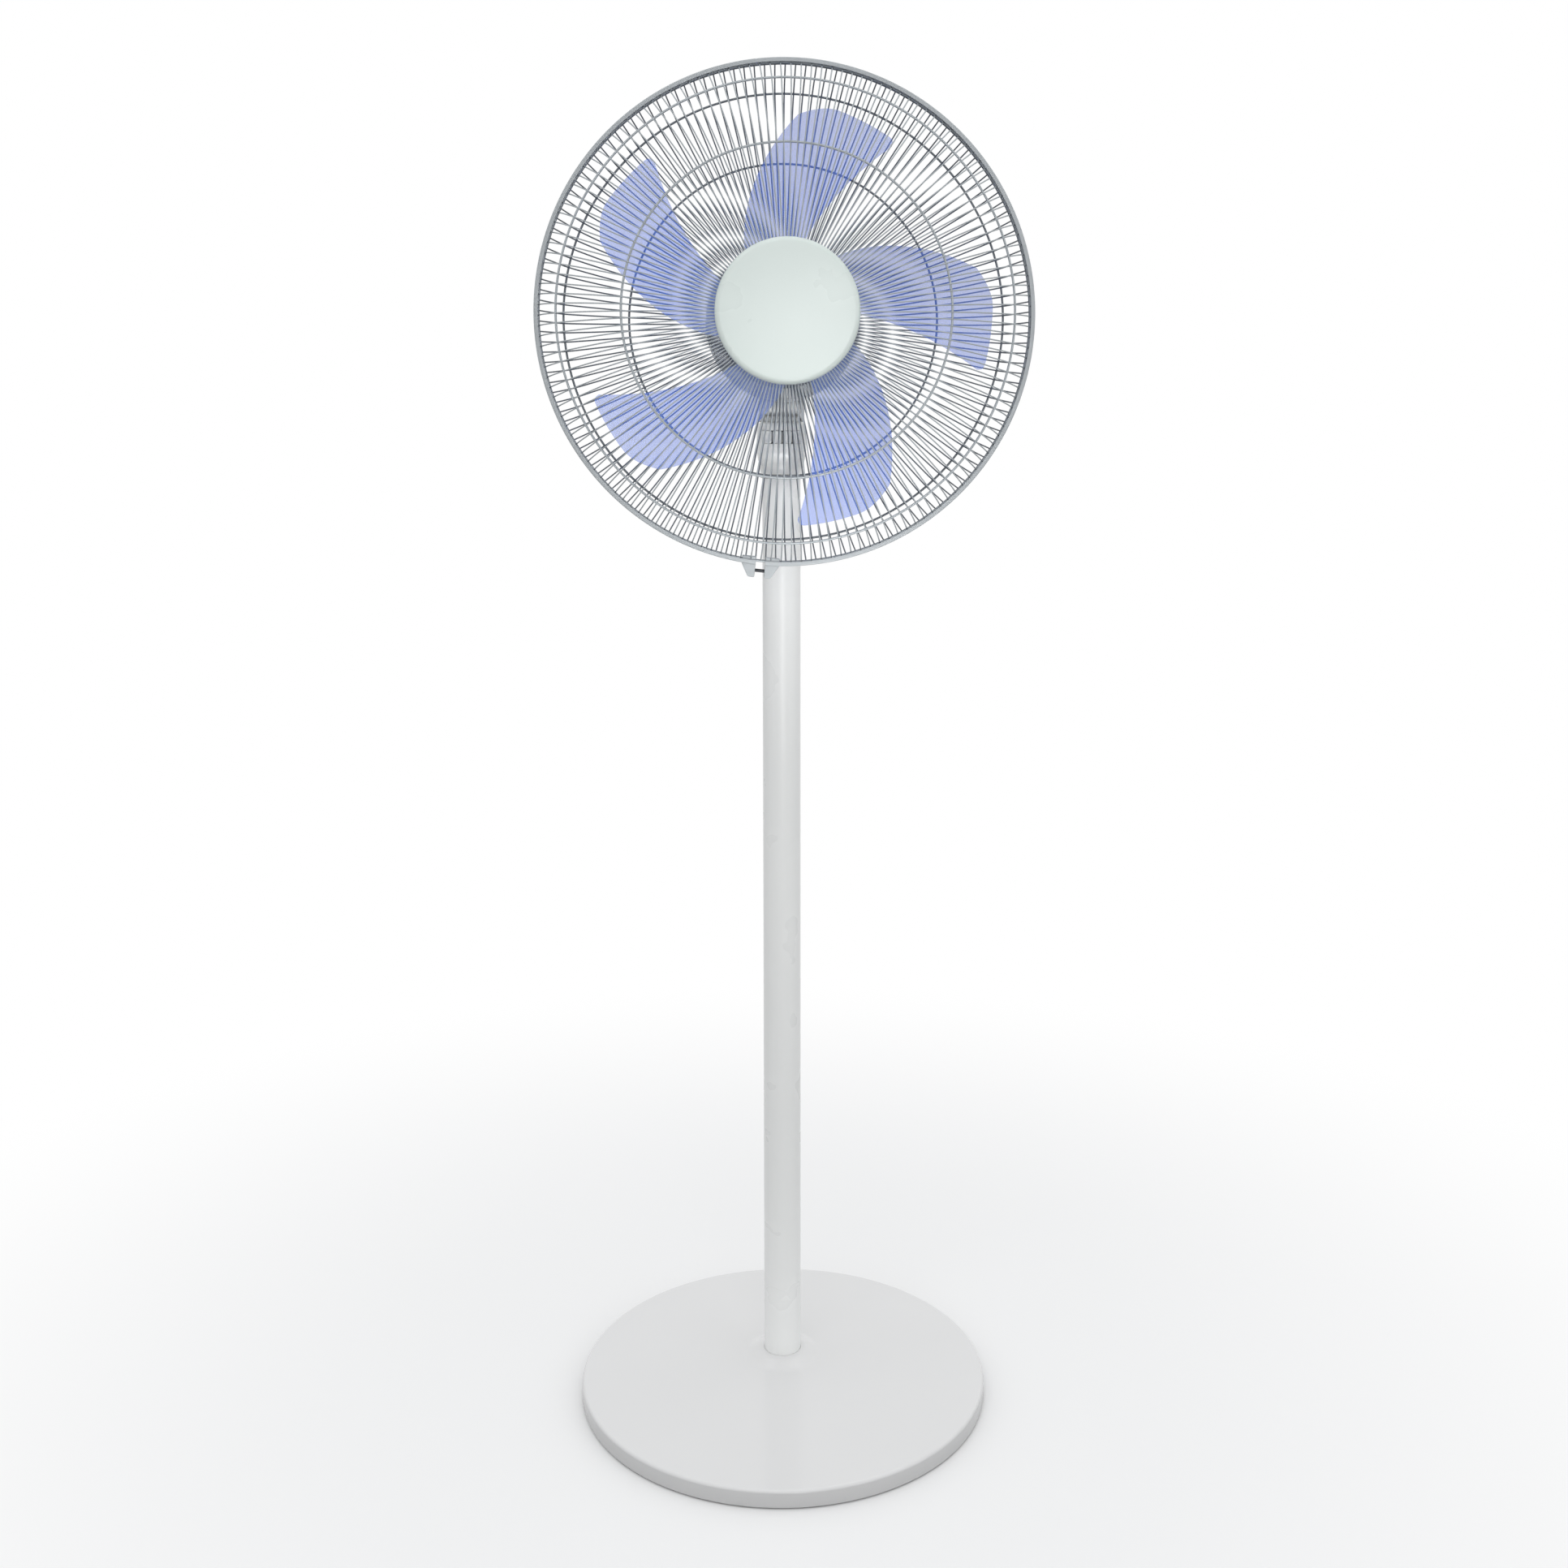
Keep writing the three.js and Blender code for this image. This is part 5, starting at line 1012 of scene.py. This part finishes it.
guardNut = dict(bore=14.4, lobes=12, lobeDepth=2.2, faceRadius=22, dish=2.5)


def makeGuardNut():
    low, high = extent("guard_nut")
    radius, rear, front = high[0], poleBack - high[1], poleBack - low[1]
    bore, face, dish = guardNut["bore"], guardNut["faceRadius"], front - guardNut["dish"]
    corners = [(bore, rear, 0.3), (radius, rear, 0.8), (radius, front, 1.2), (face, front, 1), (face - 2, dish, 1),
               (bore, dish, 0.3)]
    standIn("guard_nut", [gripShell(radius, guardNut["lobes"], guardNut["lobeDepth"], corners, atHead, closed=True)])


makeGuardNut()
print("guards made")

# Cap over the middle of the front guard, and the plate behind it
cap = dict(crown=2, edge=5, wall=2.2, sides=200, gap=0.3, backEdge=0.8, backRim=1.5, backBore=2.3, backBoss=8)


def makeCap():
    low, high = extent("guard_cap")
    radius, skirt, top = high[0], guards["frontHub"] + guards["wireRadius"] + cap["gap"], poleBack - low[1]
    face = top - cap["crown"]
    flat, edge, wall = radius - cap["edge"], cap["edge"], cap["wall"]
    # the face falls from its middle with the square of the radius, then turns down in a quarter round
    r = np.linspace(0, flat, 20)
    turn = np.radians(np.linspace(90, 0, 12))[1:]
    front = np.column_stack([r, face + cap["crown"] * (1 - (r / flat) ** 2)])
    corner = np.column_stack([flat + edge * np.cos(turn), face - edge + edge * np.sin(turn)])
    inside = np.column_stack([flat + (edge - wall) * np.cos(turn[::-1]),
                              face - edge + (edge - wall) * np.sin(turn[::-1])])
    hem = rounded([(radius, face - edge, 0), (radius, skirt, 0.7), (radius - wall, skirt, 0.7),
                   (radius - wall, face - edge, 0)], steps=4)[1:-1]
    under = np.column_stack([r[::-1], face - wall + 0 * r])
    outline = np.concatenate([front, corner, hem, inside, under])
    standIn("guard_cap", [shell(atHead(turned(outline, cap["sides"])), ends=False)], sharp=50)
    low, high = extent("guard_cap_back")
    rear, front = poleBack - high[1], poleBack - low[1]
    radius, rim, edge, bore = high[0], cap["backRim"], cap["backEdge"], cap["backBore"]
    outline = [(bore, rear, 0.2), (cap["backBoss"], rear, 0), (radius - rim, rear, edge),
               (radius, rear + edge, 0.5), (radius, front, 0.5), (bore, front, 0.2)]
    standIn("guard_cap_back", [turnedShell(outline, atHead, True, sides=144)])


makeCap()

# Clip ring: a channel strip round both rims, split low down between two lugs and drawn up by a screw
clip = dict(width=14, wall=1.8, lip=2, gapTurn=-6, gap=8.5, lugLength=11.5, lugWidth=12.5, lugTip=6, lugThickness=10,
            screwReach=5.5, screwRadius=1.5, headRadius=3, nutRadius=3.4, seat=4.5, seatRadius=3.6, sinkDepth=20,
            sides=300, edge=0.7, sharp=45)
clipRadius = extent("guard_clip_ring")[1][0]
lowest = 270 + clip["gapTurn"]


def atClip(points):
    # turned from the lowest point round to the split
    return atHead(spun(points, math.radians(clip["gapTurn"])))


def acrossClip(points):
    # for forms that run along the screw: z becomes the ring's tangent at the split
    place = [points[..., 2], points[..., 0] - clipRadius - clip["screwReach"], points[..., 1] + guards["rimPlane"]]
    return atClip(np.stack(place, -1))


def makeClipRing():
    half, wall, outer = clip["width"] / 2, clip["wall"], clipRadius
    inner, lip, plane = outer - wall, outer - wall - clip["lip"], guards["rimPlane"]
    section = rounded([(outer, plane - half, 1.2), (outer, plane + half, 1.2), (lip, plane + half, 0.5),
                       (lip, plane + half - wall, 0.4), (inner, plane + half - wall, 0.3),
                       (inner, plane - half + wall, 0.3), (lip, plane - half + wall, 0.4),
                       (lip, plane - half, 0.5)], True, 4)
    halfGap = math.degrees(math.asin(clip["gap"] / 2 / outer))
    grid = turned(section, clip["sides"], lowest + halfGap, 360 - 2 * halfGap - 0.001)
    shells = [shell(atHead(grid.transpose(1, 0, 2)))]
    root, tip = outer - half, outer + clip["lugLength"]
    for side in (-1, 1):
        near, far = side * clip["gap"] / 2, side * (clip["gap"] / 2 + clip["lugWidth"])
        outline = rounded([(near, -root, 0), (near, -tip, 1.4), (near + side * clip["lugTip"], -tip, 1.8),
                           (far, -outer, 1.2), (far, -root, 0)], True, 5)
        outline = outline if side < 0 else outline[::-1]
        depth = clip["lugThickness"] / 2
        shells.append(slabShell(outline[::-1], plane - depth, plane + depth, clip["edge"], atClip))
    ring = standIn("guard_clip_ring", shells, clip["sharp"])
    # the screw's head and nut sit sunk in the lugs
    end = clip["gap"] / 2 + clip["seat"]
    sinks = []
    for side in (-1, 1):
        near, far, radius = side * end, side * (end + clip["sinkDepth"]), clip["seatRadius"]
        outline = [(0, near, 0), (radius, near, 0), (radius, far, 0), (0, far, 0)]
        sinks.append(turnedShell(outline, acrossClip, sides=36))
    cutHoles(ring, sinks, clip["sharp"])
    head, shank = clip["headRadius"], clip["screwRadius"]
    outline = [(0, -end - 2.6, 0), (head * 0.8, -end - 2.5, 1), (head, -end - 1.4, 0.5), (head, -end - 0.3, 0.2),
               (shank, -end - 0.3, 0), (shank, end + 3, 0.3), (0, end + 3, 0)]
    standIn("clip_screw", [turnedShell(outline, acrossClip, sides=40)])
    nut = slabShell(hexagon(clip["nutRadius"]), end + 0.3, end + 2.9, 0.3, acrossClip)
    standIn("clip_nut", [nut], sharp=25)


makeClipRing()
print("cap and clip ring made")

# Rubber pads under the base and the bush where the cord goes in
small = dict(pads=5, padShape=2.2, padDish=0.6, padFace=7, glandBore=3.4, glandNeck=6, glandFlange=1.6)


def makeSmallPieces():
    for k in range(small["pads"]):
        node = f"foot_pad_{k + 1}"
        low, high = extent(node)
        radius, face, centre = (high[2] - low[2]) * small["padShape"], small["padFace"], (low + high) / 2
        outline = [(0, small["padDish"], 0), (face, small["padDish"], 0.5), (face + 1, 0, 0.4), (radius, 0, 1.1),
                   (radius, high[2], 0.3), (0, high[2], 0)]
        standIn(node, [moved(turnedShell(outline, atBase, sides=48), *centre[:2])])
    low, high = extent("cord_gland")
    near, rear, flange = low[1] - poleBack, high[1] - poleBack, (high[0] - low[0]) / 2
    bore, radius, face = small["glandBore"], small["glandNeck"], rear - small["glandFlange"]
    outline = [(bore, near, 0.3), (radius, near, 0.5), (radius, face, 0), (flange, face, 0.2), (flange, rear, 0.6),
               (bore, rear, 0.6)]
    standIn("cord_gland", [turnedShell(outline, backwards(middle("cord_gland", 2)), True, sides=64)])


makeSmallPieces()
print("small pieces made")

# Camera, floor and light
view = dict(lens=37.78, place=(-0.0445, -1.5893, 0.9468), pitch=6.11, yaw=-2.30, shiftX=-0.0116, shiftY=-0.10)
studio = dict(world=0.86, sky="#FDFEFF", floor="#F3F3F3", reach=12, lift=0.05, near=0.3, far=1.3, dim=0.75)
lamps = dict(key=((-0.8, -2.8, 4.0), (0, 0, 1.0), 3.6, 22), fill=((3.2, -2.2, 1.8), (0, 0, 1.1), 3.0, 8),
             top=((0.3, 0.8, 4.2), (0, 0, 0.3), 3.6, 11), front=((0.3, -3.4, 1.0), (0, 0, 0.9), 1.6, 1.1, 30),
             snoot=((0.15, -1.3, 0.1), (0, 0.08, 0.98), 0.3, 0.13, 14))  # place, aim, size, power, spread


def makeCamera():
    data = bpy.data.cameras.new("camera")
    data.lens, data.sensor_width = view["lens"], 36
    data.shift_x, data.shift_y = view["shiftX"], view["shiftY"]
    camera = addObject("camera", data)
    camera.location = view["place"]
    camera.rotation_euler = (math.radians(90 - view["pitch"]), 0, math.radians(view["yaw"]))
    bpy.context.scene.camera = camera


def areaLamp(name, place, aim, size, power, spread=180):
    data = bpy.data.lights.new(name, "AREA")
    data.shape, data.size, data.energy, data.spread = "DISK", size, power, math.radians(spread)
    lamp = addObject(name, data)
    lamp.location = place
    away = np.array(aim) - np.array(place)
    lamp.rotation_euler = mathutils.Vector(away).to_track_quat("-Z", "Y").to_euler()


def seenWhite(tree, plain, whiteness):
    # what the camera, mirrors and clear plastic see is lifted to white; all other light stays plain.
    # whiteness is a number or another node's output
    path = addNode(tree, "ShaderNodeLightPath")
    seen = addNode(tree, "ShaderNodeMath", {0: path.outputs["Is Camera Ray"], 1: path.outputs["Is Glossy Ray"]},
                   operation="MAXIMUM")
    seen = addNode(tree, "ShaderNodeMath", {0: seen.outputs[0], 1: path.outputs["Is Transmission Ray"]},
                   operation="MAXIMUM")
    scaled = addNode(tree, "ShaderNodeMath", {0: seen.outputs[0], 1: whiteness}, operation="MULTIPLY")
    return addNode(tree, "ShaderNodeMixShader", {0: scaled.outputs[0], 1: plain})


def makeStudio():
    mesh = bpy.data.meshes.new("floor")
    reach = studio["reach"]
    corners = [(-reach, -reach, 0), (reach, -reach, 0), (reach, reach, 0), (-reach, reach, 0)]
    mesh.from_pydata(corners, [], [(0, 1, 2, 3)])
    floor = addObject("floor", mesh)
    material, tree, shader = startMaterial("white studio floor", studio["floor"], 0.9)
    shader.inputs["Specular IOR Level"].default_value = 0.0
    # the floor rises to pure white away from the stand, with the distance from its middle
    place = addNode(tree, "ShaderNodeTexCoord").outputs["Object"]
    distance = addNode(tree, "ShaderNodeVectorMath", {0: place}, operation="LENGTH").outputs["Value"]
    span = {"Value": distance, "From Min": studio["near"], "From Max": studio["far"], "To Min": studio["lift"]}
    rise = addNode(tree, "ShaderNodeMapRange", span, interpolation_type="SMOOTHSTEP")
    # it throws less light back than it shows, so that it doesn't brighten what faces down
    path = addNode(tree, "ShaderNodeLightPath").outputs["Is Diffuse Ray"]
    dimmed = addNode(tree, "ShaderNodeMath", {0: path, 1: studio["dim"]}, operation="MULTIPLY")
    dark = addNode(tree, "ShaderNodeBsdfDiffuse", {"Color": (0, 0, 0, 1)})
    plain = addNode(tree, "ShaderNodeMixShader", {0: dimmed.outputs[0], 1: shader.outputs[0], 2: dark.outputs[0]})
    white = addNode(tree, "ShaderNodeEmission", {"Color": (1, 1, 1, 1), "Strength": 1.0})
    mix = seenWhite(tree, plain.outputs[0], rise.outputs["Result"])
    tree.links.new(white.outputs[0], mix.inputs[2])
    tree.links.new(mix.outputs[0], tree.nodes["Material Output"].inputs["Surface"])
    mesh.materials.append(material)
    world = bpy.data.worlds.new("studio")
    bpy.context.scene.world = world
    world.use_nodes = True
    tree = world.node_tree
    soft = tree.nodes["Background"]
    soft.inputs["Color"].default_value = linear(studio["sky"])
    soft.inputs["Strength"].default_value = studio["world"]
    white = addNode(tree, "ShaderNodeBackground", {"Color": (1, 1, 1, 1), "Strength": 1.0})
    mix = seenWhite(tree, soft.outputs[0], 1.0)
    tree.links.new(white.outputs[0], mix.inputs[2])
    tree.links.new(mix.outputs[0], tree.nodes["World Output"].inputs["Surface"])
    for name, values in lamps.items():
        areaLamp(name, *values)


makeCamera()
makeStudio()
bpy.context.scene.view_settings.view_transform = "Standard"
print("camera and studio made")
